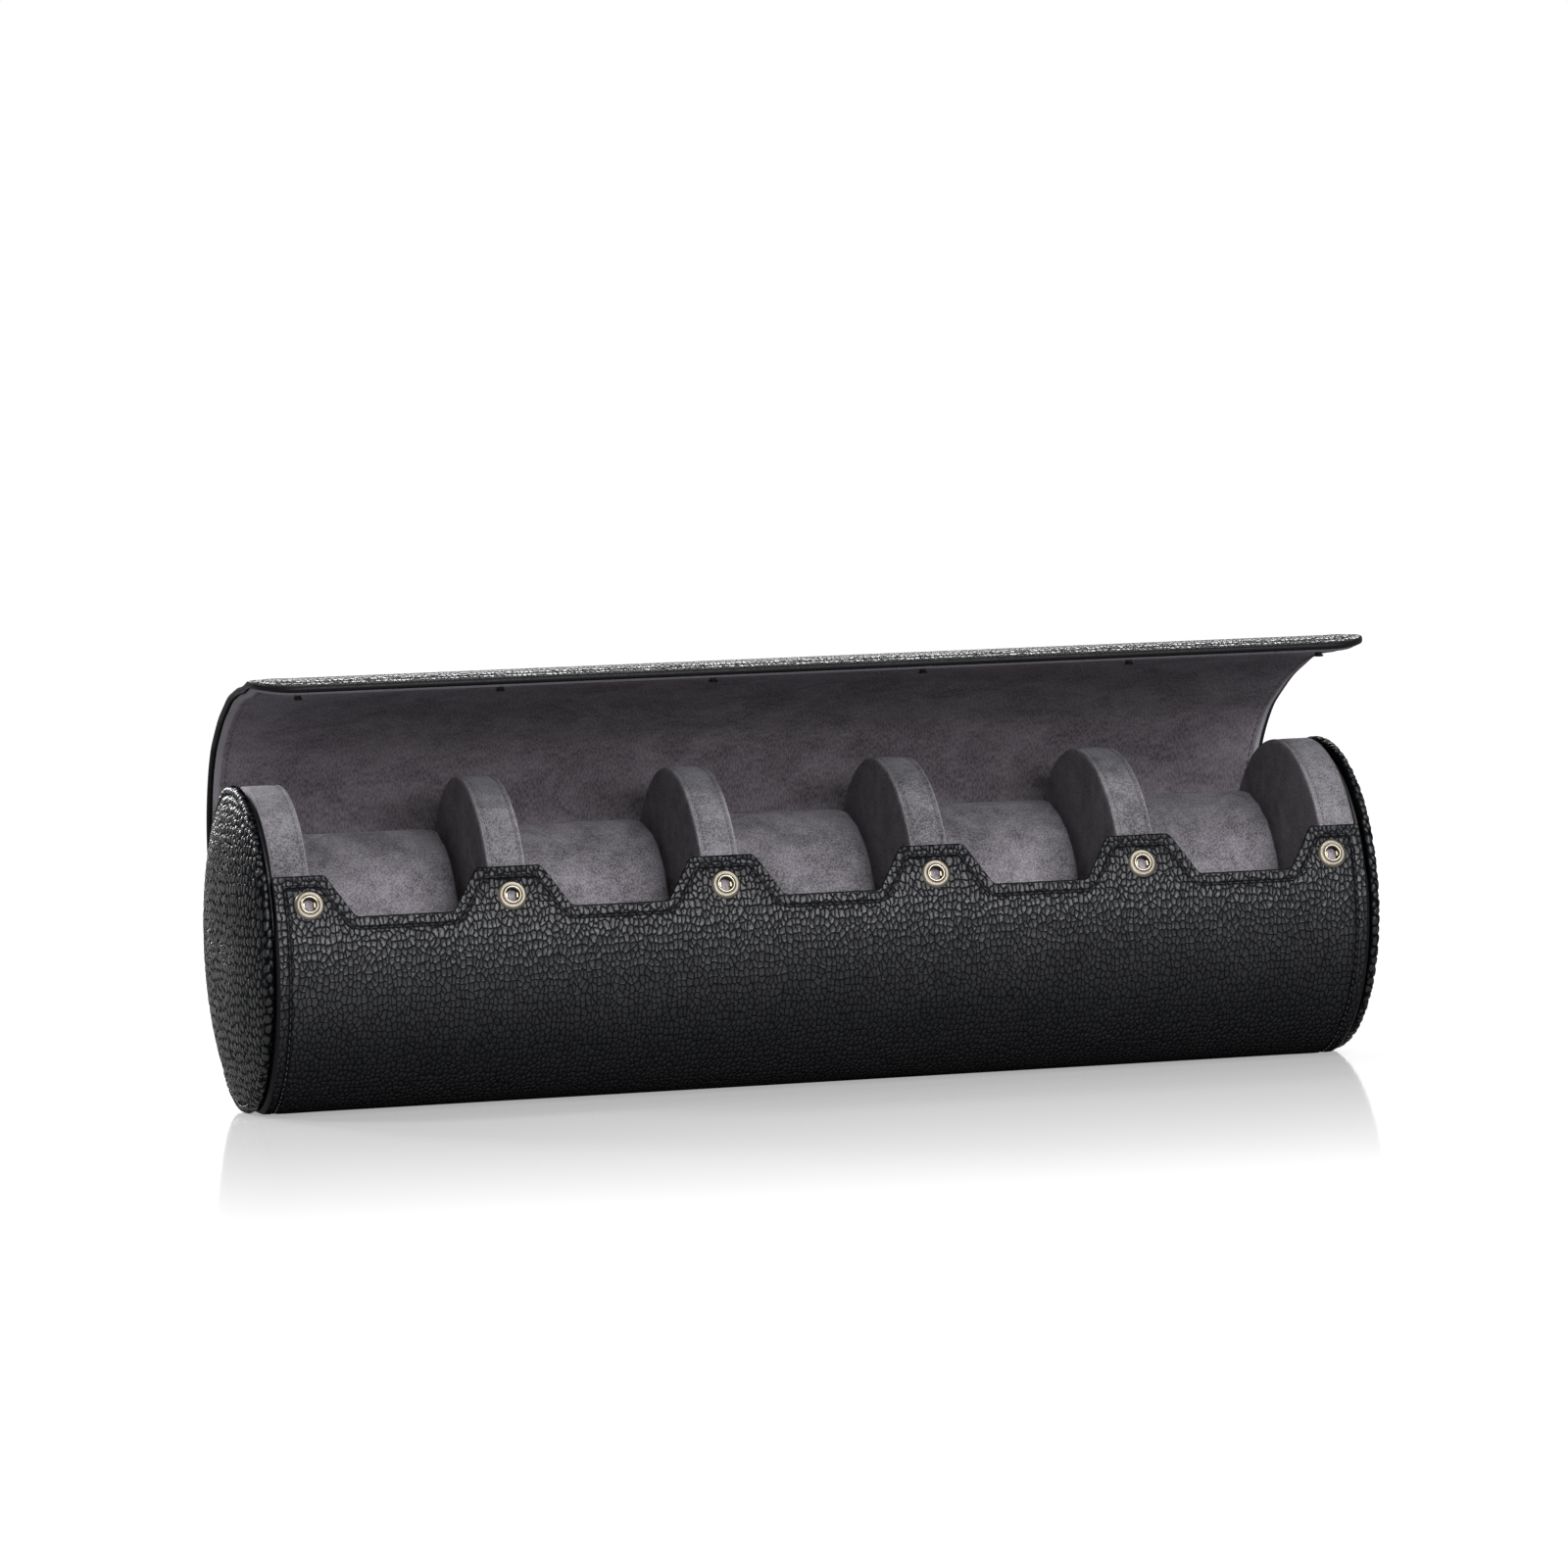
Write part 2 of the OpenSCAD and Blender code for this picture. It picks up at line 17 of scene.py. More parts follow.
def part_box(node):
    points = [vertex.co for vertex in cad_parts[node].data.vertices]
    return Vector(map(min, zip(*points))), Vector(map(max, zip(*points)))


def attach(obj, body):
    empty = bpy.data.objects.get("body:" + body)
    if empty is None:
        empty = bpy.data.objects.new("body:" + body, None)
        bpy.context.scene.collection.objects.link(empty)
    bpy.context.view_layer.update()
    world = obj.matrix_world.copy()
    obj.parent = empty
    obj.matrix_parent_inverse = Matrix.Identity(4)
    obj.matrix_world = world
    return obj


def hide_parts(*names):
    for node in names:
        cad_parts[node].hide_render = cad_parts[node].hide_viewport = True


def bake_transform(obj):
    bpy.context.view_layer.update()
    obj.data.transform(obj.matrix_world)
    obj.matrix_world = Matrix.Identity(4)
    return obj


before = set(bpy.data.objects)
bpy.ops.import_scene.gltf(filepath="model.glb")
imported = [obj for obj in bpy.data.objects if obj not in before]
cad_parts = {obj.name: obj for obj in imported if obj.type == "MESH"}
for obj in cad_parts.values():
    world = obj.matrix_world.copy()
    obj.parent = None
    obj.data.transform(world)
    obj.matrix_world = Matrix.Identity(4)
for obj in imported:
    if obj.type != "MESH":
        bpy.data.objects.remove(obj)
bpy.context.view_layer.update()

MM = 0.001


def node_box(name):
    """Lowest and highest corner of a CAD node, in millimetres."""
    low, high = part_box(name)
    return np.array(low) / MM, np.array(high) / MM


# ---------------------------------------------------------------- sizes, in millimetres
SHELL_HALF = node_box("case_leather")[1][0]
SHELL_R = 54
# Width of the flat foot that the shell stands on
FOOT_W = 26
AXIS_H = math.sqrt(SHELL_R**2 - FOOT_W**2 / 4)
FOOT_A = math.acos(AXIS_H / SHELL_R)
TAB_TOP = 26
BACK_EDGE_A = 193
WALL_LEATHER = 1.4
WALL_BOARD = 1.6
WALL_LINING = 0.8
# Heights above the axis between which the wall gets its board
BOARD_TOP = 7.5
BOARD_FADE = 4

BAYS = 5
BAY_PITCH = 71
NOTCH_W = 32
NOTCH_SLOPE = 8.8
NOTCH_DEPTH = 13.7
NOTCH_CORNER_R = 2.4

SNAP_A = 18.4
SNAP_END_INSET = 10.7
SOCKET_H = 0.95
SOCKET_HOLE_R = 2.2
# Round holes in the shell's leather and board that the sockets' barrels sit in
PUNCH_R = 2.95

CAP_R = 53.2
CAP_LIFT = 1
CAP_SLEEVE_R = 48.9
# Distances out from the shell's end: back of the rim, middle of its bead and the crease inside it
CAP_RIM_X = 1.65
CAP_BEAD_X = 3.1
CAP_BEAD_R = 1.6
CAP_CREASE_X = 4.6
CAP_PILLOW_H = 6.1
CAP_PILLOW_FULLNESS = 3.2
CAP_POLE_R = 0.15
# Pebbles on the caps: width, height, how far they stand up
CAP_PEBBLE = (2.4, 3.2, 0.5)

DIVIDER_LOW_R = 50.1
DIVIDER_TOP = 54.1
DIVIDER_TAB_R = 51.65
DIVIDER_FLAT = 48.5

CUSHION_LONG = 66
CUSHION_SHORT = 57
CUSHION_TILT = 50

LID_GAP_TOP = 1.2
LID_GAP_SOCKET = 0.35
LID_GAP_CAP = 0.8
LID_LINING = 1.6
LID_BOARD = 1.2
LID_HIDE = 1.4
HINGE_A = 190
LID_REAR_A = 187
BEND_REAR_A = 80
BEND_FRONT_A = 45
LID_FRONT_A = 7
LID_OVERHANG = 4.5
LID_CORNER_R = 14
# How far inside the leather's edge the lining ends
LINING_INSET = 0.9
# How far the hinge and the two bends stand open at rest, in degrees
OPEN_HINGE = 20
OPEN_REAR = 19
OPEN_FRONT = 29
# Angles at which the lid starts and ends turning from one strip to the next
BEND_REAR_FROM = 110
BEND_MEET_A = 62.5
BEND_FRONT_TO = 20
# Soft swellings of the lid over its bends: height, middle and spread along the closed lid in degrees
LID_SWELLS = ((2.2, 45, 12), (1.4, 85, 12))

# Studio: how much the floor glows for the camera near the case and far off, between which distances
# in metres that grows, and how much it mirrors and how far out
FLOOR_LIFT = 1.04
FLOOR_LIFT_FAR = 1.5
FLOOR_GLOW_REACH = (0.5, 2.5)
FLOOR_LIFT_SHARE = 0.7
FLOOR_POLISH = 0.5
FLOOR_POLISH_REACH = 0.62
# The light from all round, and the lamps with their place, aim and size in metres and the level at
# which they light what faces them
AROUND_LIGHT = 0.1
LAMPS = (
    ("high_box", (0.4, -0.9, 1.2), (0, 0, 0.08), (0.9, 0.35), 0.58),
    ("front_box", (0.4, -1.7, 0.98), (0, 0, 0.08), (1.3, 0.35), 0.52),
    ("low_box", (0.0, -2.1, 0.45), (0, 0, 0.08), (1.3, 0.3), 0.32),
    ("top_box", (0.0, 0.0, 1.5), (0, 0, 0.08), (1.2, 0.35), 0.35),
    ("left_box", (-1.1, 0.35, 1.15), (-0.18, 0, 0.1), (0.3, 0.3), 0.8),
    ("rear_left_box", (-0.8, 1.3, 0.8), (-0.18, 0, 0.1), (0.35, 0.35), 0.8),
    ("back_left_box", (-0.5, 1.9, 0.6), (-0.18, 0, 0.1), (0.5, 0.3), 0.6),
    ("back_box", (0.5, 1.9, 1.0), (0, 0, 0.1), (1.2, 0.3), 0.32),
)

# Stitches: distance from a leather edge, length, gap and thickness of the thread
STITCH_INSET = 3.3
STITCH_PITCH = 2.7
STITCH_L = 1.9
STITCH_THREAD = 0.42
# How deep the thread lies in the leather and in the lining
STITCH_SINK = 0.24
LINING_STITCH_SINK = 0.2
# How far stitches stand askew, in radians
STITCH_SWAY = 0.12
# The edge distance that a piece without sewn edges is given
NO_EDGE = 9.0


# ---------------------------------------------------------------- section of the case
def polar(radius, angle):
    """Points (y, z) round the axis; angle in degrees, 0 at the front and 90 at the top."""
    a = np.radians(angle)
    return np.stack([-radius * np.cos(a), radius * np.sin(a)], axis=-1)


def circle_centre(p, q, s):
    """Centre of the circle through three points."""
    d = 2 * (p[0] * (q[1] - s[1]) + q[0] * (s[1] - p[1]) + s[0] * (p[1] - q[1]))
    pp, qq, ss = p @ p, q @ q, s @ s
    y = (pp * (q[1] - s[1]) + qq * (s[1] - p[1]) + ss * (p[1] - q[1])) / d
    z = (pp * (s[0] - q[0]) + qq * (p[0] - s[0]) + ss * (q[0] - p[0])) / d
    return np.array([y, z])


# Closed, the lid's inner face is an arc that clears the sockets, the dividers' tops and, at the
# hinge, the backs of the end caps
LID_C = circle_centre(
    polar(SHELL_R + SOCKET_H + LID_GAP_SOCKET, SNAP_A),
    np.array([0, DIVIDER_TOP + LID_GAP_TOP]),
    polar(AXIS_H + CAP_LIFT - 0.2 + LID_GAP_CAP, HINGE_A),
)
LID_INNER_R = float(np.hypot(*(np.array([0, DIVIDER_TOP + LID_GAP_TOP]) - LID_C)))
LID_LEATHER_R = LID_INNER_R + LID_LINING
LID_R = LID_LEATHER_R + LID_BOARD + LID_HIDE
HINGE_P = LID_C + polar(LID_R, HINGE_A)
BEND_REAR_P = LID_C + polar(LID_R, BEND_REAR_A)
BEND_FRONT_P = LID_C + polar(LID_R, BEND_FRONT_A)


def smooth(t):
    """0 below 0, 1 above 1 and an even S between them."""
    t = np.clip(t, 0, 1)
    return t * t * (3 - 2 * t)


def turn_about(points, pivot, degrees):
    """Turns section points (y, z) open about a pivot; degrees may differ from point to point."""
    a = np.radians(-np.asarray(degrees, float))
    y = points[..., 0] - pivot[0]
    z = points[..., 1] - pivot[1]
    turned_y = y * np.cos(a) - z * np.sin(a)
    turned_z = y * np.sin(a) + z * np.cos(a)
    return np.stack([pivot[0] + turned_y, pivot[1] + turned_z], axis=-1)


def lid_section(radius, angle):
    """A point of the open lid's section, from its radius and angle on the closed lid."""
    radius, angle = np.broadcast_arrays(np.asarray(radius, float), np.asarray(angle, float))
    swell = sum(h * np.exp(-(((angle - middle) / spread) ** 2)) for h, middle, spread in LID_SWELLS)
    p = LID_C + polar(radius + swell, angle)
    front = smooth((BEND_MEET_A - angle) / (BEND_MEET_A - BEND_FRONT_TO))
    rear = smooth((BEND_REAR_FROM - angle) / (BEND_REAR_FROM - BEND_MEET_A))
    p = turn_about(p, BEND_FRONT_P, OPEN_FRONT * front)
    p = turn_about(p, BEND_REAR_P, OPEN_REAR * rear)
    return turn_about(p, HINGE_P, OPEN_HINGE)


def in_space(x, section):
    """Joins x and section points (y, z about the axis) to points in space."""
    x = np.broadcast_to(np.asarray(x, float), section.shape[:-1])
    return np.stack([x, section[..., 0], section[..., 1] + AXIS_H], axis=-1)


def round_turn(steps):
    """Angles of evenly spaced points once round a circle."""
    return np.linspace(0, 2 * math.pi, steps, endpoint=False)


def unit(vectors):
    """Rows of vectors brought to length 1."""
    return vectors / np.linalg.norm(vectors, axis=1, keepdims=True)


# ---------------------------------------------------------------- meshes
def set_attribute(mesh, name, kind, values):
    """Gives each point of a mesh a number (FLOAT) or a vector (FLOAT_VECTOR)."""
    layer = mesh.attributes.new(name, kind, "POINT")
    key = "vector" if kind == "FLOAT_VECTOR" else "value"
    layer.data.foreach_set(key, np.asarray(values, np.float32).ravel())


def shade_smooth(mesh):
    """Shades all faces of a mesh smooth."""
    mesh.polygons.foreach_set("use_smooth", np.ones(len(mesh.polygons), bool))


def bake(piece):
    """Makes what a piece's modifiers give its own plain mesh, and removes them."""
    graph = bpy.context.evaluated_depsgraph_get()
    mesh = bpy.data.meshes.new_from_object(piece.evaluated_get(graph))
    piece.modifiers.clear()
    piece.data = mesh
    return mesh


def mesh_piece(name, points, faces, materials, face_materials=None, cut=None, edge=None):
    """A mesh object from points in millimetres, with its pattern coordinates as attributes.

    cut holds the place on the flat pattern, in millimetres, and edge the distance to the sewn edge.
    """
    mesh = bpy.data.meshes.new(name)
    mesh.from_pydata((np.asarray(points, float) * MM).tolist(), [], faces)
    for m in materials:
        mesh.materials.append(m)
    if face_materials is not None:
        mesh.polygons.foreach_set("material_index", np.asarray(face_materials, np.int32))
    shade_smooth(mesh)
    if cut is not None:
        set_attribute(mesh, "cut", "FLOAT_VECTOR", cut)
    if edge is not None:
        set_attribute(mesh, "edge", "FLOAT", edge)
    mesh.update()
    piece = bpy.data.objects.new(name, mesh)
    bpy.context.scene.collection.objects.link(piece)
    return piece


def grid_faces(rows, cols, first=0, wrap=False):
    """Quads of a grid of points stored row by row; wrap joins the last column to the first."""
    faces = []
    for i in range(rows - 1):
        for j in range(cols if wrap else cols - 1):
            k = (j + 1) % cols
            faces.append((first + i * cols + j, first + i * cols + k,
                          first + (i + 1) * cols + k, first + (i + 1) * cols + j))
    return faces


def border_of(rows, cols):
    """Row and column of each point once round a grid's border."""
    ring = [(0, j) for j in range(cols)]
    ring += [(i, cols - 1) for i in range(1, rows)]
    ring += [(rows - 1, j) for j in range(cols - 2, -1, -1)]
    ring += [(i, 0) for i in range(rows - 2, 0, -1)]
    return ring


def thick_sheet(name, outer, inner, cut, edge, materials, square_sides=()):
    """A closed sheet between two grids of points (rows, cols, 3).

    Its rim is rounded like a burnished edge, except on the sides named in square_sides,
    where another piece carries on. materials are those of the outer face, the rim and the inner face.
    """
    rim_steps = 5
    rows, cols = outer.shape[:2]
    count = rows * cols
    points = [outer.reshape(-1, 3), inner.reshape(-1, 3)]
    cuts = [cut.reshape(-1, 3)] * 2
    edges = [edge.ravel()] * 2
    ring = border_of(rows, cols)
    middle = (outer + inner) / 2
    across = outer - inner
    rim = []
    for i, j in ring:
        m = middle[i, j]
        row_side = {0: "first_row", rows - 1: "last_row"}.get(i)
        col_side = {0: "first_col", cols - 1: "last_col"}.get(j)
        swells_row = row_side and row_side not in square_sides
        swells_col = col_side and col_side not in square_sides
        inside = middle[min(max(i, 1), rows - 2) if swells_row else i,
                        min(max(j, 1), cols - 2) if swells_col else j]
        t = across[i, j]
        out = m - inside
        out = out - t * (out @ t) / (t @ t)
        out = out / max(np.linalg.norm(out), 1e-9) * np.linalg.norm(t) / 2
        if not (swells_row or swells_col):
            out = 0 * out
        for k in range(1, rim_steps):
            a = math.pi * k / rim_steps
            rim.append(m + t / 2 * math.cos(a) + out * math.sin(a))
        cuts.append(np.repeat(cut[i, j][None], rim_steps - 1, 0))
        edges.append(np.zeros(rim_steps - 1))
    points.append(np.array(rim))
    faces = grid_faces(rows, cols)
    kinds = [0] * len(faces)
    back = [tuple(reversed(f)) for f in grid_faces(rows, cols, first=count)]
    faces += back
    kinds += [2] * len(back)
    n = len(ring)

    def rim_vertex(at, k):
        i, j = ring[at % n]
        if k == 0:
            return i * cols + j
        if k == rim_steps:
            return count + i * cols + j
        return 2 * count + (at % n) * (rim_steps - 1) + k - 1

    for at in range(n):
        for k in range(rim_steps):
            faces.append((rim_vertex(at, k), rim_vertex(at, k + 1),
                          rim_vertex(at + 1, k + 1), rim_vertex(at + 1, k)))
            kinds.append(1)
    a, b, c = outer[0, 0], outer[0, 1], outer[1, 0]
    if np.cross(b - a, c - a) @ across[0, 0] > 0:
        faces = [tuple(reversed(f)) for f in faces]
    sheet = mesh_piece(name, np.concatenate(points), faces, materials, kinds,
                       np.concatenate(cuts), np.concatenate(edges))
    if square_sides:
        sheet.data.set_sharp_from_angle(angle=math.radians(60))
    return sheet


def revolved(profile, steps, centre, side):
    """Rings of a profile of (radius, along) pairs turned about X; side is -1 if it faces left."""
    angles = round_turn(steps)
    rings = []
    for radius, along in profile:
        rings.append(np.stack([
            np.full(steps, centre[0] + side * along),
            centre[1] + radius * np.cos(angles),
            centre[2] + radius * np.sin(angles)], axis=-1))
    return np.array(rings), angles


def closed_rings(rings):
    """Points and faces of a tube of rings, its two ends closed to a point."""
    rows, cols = rings.shape[:2]
    points = np.concatenate([rings.reshape(-1, 3), [rings[0].mean(0), rings[-1].mean(0)]])
    faces = grid_faces(rows, cols, wrap=True)
    last = (rows - 1) * cols
    pole = rows * cols
    for j in range(cols):
        k = (j + 1) % cols
        faces.append((k, j, pole))
        faces.append((last + j, last + k, pole + 1))
    return points, faces


def ring_faces(rows, cols, first=0):
    """Quads of a tube whose last ring joins the first one, such as piping or a hollow rivet."""
    faces = grid_faces(rows, cols, first, wrap=True)
    last = first + (rows - 1) * cols
    faces += [(last + j, last + (j + 1) % cols, first + (j + 1) % cols, first + j) for j in range(cols)]
    return faces


def outwards(piece):
    """Points a closed piece's faces outwards."""
    shape = bmesh.new()
    shape.from_mesh(piece.data)
    bmesh.ops.recalc_face_normals(shape, faces=shape.faces)
    shape.to_mesh(piece.data)
    shape.free()
    return piece


# ---------------------------------------------------------------- materials
def linear(hex_colour):
    """An sRGB hex colour as a linear RGBA value."""
    parts = [int(hex_colour[i:i + 2], 16) / 255 for i in (1, 3, 5)]
    return [p / 12.92 if p <= 0.04045 else ((p + 0.055) / 1.055) ** 2.4 for p in parts] + [1]


def set_inputs(node, inputs):
    """Sets a node's inputs, by name or number, to values or to other nodes' outputs."""
    for key, value in inputs.items():
        if isinstance(value, bpy.types.NodeSocket):
            node.id_data.links.new(value, node.inputs[key])
        else:
            node.inputs[key].default_value = value


def add(tree, kind, inputs=(), output=0, **settings):
    """Adds a node with its settings and links, and gives one of its outputs, by name or number.

    inputs maps sockets to values or to other nodes' outputs, or lists them from the first socket on.
    """
    made = tree.nodes.new(kind)
    for key, value in settings.items():
        setattr(made, key, value)
    set_inputs(made, inputs if isinstance(inputs, dict) else dict(enumerate(inputs)))
    return made.outputs[output] if made.outputs else None


# The Mix node for colours has several sockets of one name, so they go by number: 0 is the share,
# 6 and 7 are the two colours, and 2 is the result.
COLOURS = {"output": 2, "data_type": "RGBA"}
# Map Range maps one range smoothly to another, or to 0 and 1 if no other is given
SMOOTHLY = {"interpolation_type": "SMOOTHSTEP"}


def new_material(name):
    """A material with its node tree and its shader."""
    material = bpy.data.materials.new(name)
    material.use_nodes = True
    return material, material.node_tree, material.node_tree.nodes["Principled BSDF"]


def weighted_sum(tree, parts):
    """Adds up patterns, each times its weight."""
    total = 0.0
    for value, weight in parts:
        total = add(tree, "ShaderNodeMath", (value, weight, total), operation="MULTIPLY_ADD")
    return total


def square_on_gloss(tree, level, waxed):
    """Gloss of a waxed surface, which fades as it is seen more from the side."""
    facing = add(tree, "ShaderNodeLayerWeight", {"Blend": 0.5}, "Facing")
    square_on = add(tree, "ShaderNodeMath", (1.0, facing), operation="SUBTRACT")
    faded = add(tree, "ShaderNodeMath", (square_on, waxed), operation="POWER")
    return add(tree, "ShaderNodeMath", (faded, level), operation="MULTIPLY")


def pebbled_leather(name, crown, valley, cell, tall, depth, roughness, level, waxed):
    """Corrected-grain cowhide with a pressed pebble pattern and a waxed satin topcoat.

    The press leaves rounded crowns about 2 mm across between creases. The colour holds painted shade in
    the creases and in the seam's groove and a painted highlight in each crown's middle, and the gloss is
    dimmed there as painted shade. The wax scatters light that comes in flat. Sewn edges are pulled down.
    """
    material, tree, shader = new_material(name)
    place = add(tree, "ShaderNodeAttribute", (), "Vector", attribute_name="cut")
    # The rows of pebbles wander over about 8 mm, and their outlines over about 1 mm
    moved = place
    for scale, sway in ((0.13, 2.4), (0.75, 0.8)):
        drift = add(tree, "ShaderNodeTexNoise", {"Vector": place, "Scale": scale, "Detail": 1.0}, "Color")
        drift = add(tree, "ShaderNodeVectorMath", (drift, (0.5, 0.5, 0.5)), operation="SUBTRACT")
        drift = add(tree, "ShaderNodeVectorMath", (drift, (sway, sway, 0)), operation="MULTIPLY")
        moved = add(tree, "ShaderNodeVectorMath", (moved, drift))
    size = (1 / cell, 1 / (cell * tall), 0)
    moved = add(tree, "ShaderNodeMapping", {"Vector": moved, "Scale": size})
    cells = {"Vector": moved, "Scale": 1.0, "Randomness": 0.78}
    gap = add(tree, "ShaderNodeTexVoronoi", cells, "Distance",
              feature="DISTANCE_TO_EDGE", voronoi_dimensions="2D")
    from_middle = add(tree, "ShaderNodeTexVoronoi", cells, "Distance",
                      feature="F1", voronoi_dimensions="2D")
    tone = add(tree, "ShaderNodeSeparateColor", {"Color": from_middle.node.outputs["Color"]})
    # Wrinkles about 0.5 mm long inside the pebbles, and clouds of tone about 30 mm across
    wrinkle = add(tree, "ShaderNodeTexNoise", {"Vector": place, "Scale": 1.9, "Detail": 4.0})
    cloudy = add(tree, "ShaderNodeTexNoise", {"Vector": place, "Scale": 0.035, "Detail": 3.0})
    wavy = add(tree, "ShaderNodeMath", (wrinkle, 0.1), operation="MULTIPLY")
    crease = add(tree, "ShaderNodeMath", (gap, wavy), operation="SUBTRACT")
    crown_up = add(tree, "ShaderNodeMapRange", (crease, -0.03, 0.13), **SMOOTHLY)
    dome = add(tree, "ShaderNodeMapRange", (from_middle, 0.7, 0.0), **SMOOTHLY)
    height = weighted_sum(tree, ((dome, 0.7), (crown_up, 0.5), (wrinkle, 0.22), (tone, 0.2)))

    # Colour share: random tone from pebble to pebble and in clouds, then painted shade in the creases, a
    # painted highlight in each crown's middle and painted shade along the seam's groove
    lit = add(tree, "ShaderNodeMath", (weighted_sum(tree, ((tone, -0.3), (cloudy, -0.3))), 1.0))
    edge = add(tree, "ShaderNodeAttribute", (), "Fac", attribute_name="edge")
    from_seam = add(tree, "ShaderNodeMath", (edge, STITCH_INSET), operation="SUBTRACT")
    from_seam = add(tree, "ShaderNodeMath", (from_seam,), operation="ABSOLUTE")
    for share in (crown_up,
                  add(tree, "ShaderNodeMapRange", (from_middle, 0.7, 0.1, 0.72, 1.0), **SMOOTHLY),
                  add(tree, "ShaderNodeMapRange", (from_seam, 0.3, 1.0, 0.05, 1.0), **SMOOTHLY)):
        lit = add(tree, "ShaderNodeMath", (lit, share), operation="MULTIPLY")
    # The gloss follows that share, dimmed as painted shade in the creases and the groove
    shade_dimmed_gloss = add(tree, "ShaderNodeMapRange", (lit, 0.0, 0.85, 0.12, 1.0), **SMOOTHLY)
    dull = add(tree, "ShaderNodeMapRange", (crown_up, 0.0, 1.0, roughness + 0.12, roughness - 0.08),
               **SMOOTHLY)
    set_inputs(shader, {
        "IOR": 1.5,
        "Base Color": add(tree, "ShaderNodeMix", {0: lit, 6: linear(valley), 7: linear(crown)}, **COLOURS),
        "Specular IOR Level": add(tree, "ShaderNodeMath", (shade_dimmed_gloss, square_on_gloss(tree, level, waxed)),
                                  operation="MULTIPLY"),
        "Roughness": add(tree, "ShaderNodeMath", (wrinkle, 0.16, dull), operation="MULTIPLY_ADD"),
        "Normal": add(tree, "ShaderNodeBump", {"Height": height, "Distance": depth * MM, "Strength": 1.0}),
    })
    return material


def moulded_leather(name, crown, valley, roughness, level, waxed):
    """The same cowhide where it is stretched over the padded caps and its pebbles stand up most.

    The mesh has the pebbles' shape; this adds fine pores, paints shade into the creases in the colour and
    dims their gloss as painted shade.
    """
    material, tree, shader = new_material(name)
    raised = add(tree, "ShaderNodeAttribute", (), "Fac", attribute_name="raised")
    place = add(tree, "ShaderNodeAttribute", (), "Vector", attribute_name="cut")
    # Pores about 0.5 mm apart
    pores = add(tree, "ShaderNodeTexNoise", {"Vector": place, "Scale": 2.2, "Detail": 4.0})
    # Painted shade: colour and gloss darker where the pebbles stand low
    lit = add(tree, "ShaderNodeMapRange", (raised, 0.2, 0.8), **SMOOTHLY)
    shade_dimmed_gloss = add(tree, "ShaderNodeMapRange", (lit, 0.0, 1.0, 0.08, 1.0), **SMOOTHLY)
    set_inputs(shader, {
        "IOR": 1.5,
        "Base Color": add(tree, "ShaderNodeMix", {0: lit, 6: linear(valley), 7: linear(crown)}, **COLOURS),
        "Specular IOR Level": add(tree, "ShaderNodeMath", (shade_dimmed_gloss, square_on_gloss(tree, level, waxed)),
                                  operation="MULTIPLY"),
        "Roughness": add(tree, "ShaderNodeMapRange", (pores, 0.3, 0.7, roughness - 0.05, roughness + 0.1),
                         **SMOOTHLY),
        "Normal": add(tree, "ShaderNodeBump", {"Height": pores, "Distance": 0.12 * MM, "Strength": 1.0}),
    })
    return material


def painted_edge(name, colour):
    """Acrylic edge paint on a cut leather edge: smooth, black and slightly glossy, with brush ripples."""
    material, tree, shader = new_material(name)
    place = add(tree, "ShaderNodeAttribute", (), "Vector", attribute_name="cut")
    # Ripples about 1.3 mm apart
    ripple = add(tree, "ShaderNodeTexNoise", {"Vector": place, "Scale": 0.8, "Detail": 2.0})
    set_inputs(shader, {
        "IOR": 1.48,
        "Base Color": linear(colour),
        "Specular IOR Level": square_on_gloss(tree, 0.12, 2.0),
        "Roughness": add(tree, "ShaderNodeMapRange", (ripple, 0.3, 0.7, 0.3, 0.48), **SMOOTHLY),
        "Normal": add(tree, "ShaderNodeBump", {"Height": ripple, "Distance": 0.06 * MM}),
    })
    return material


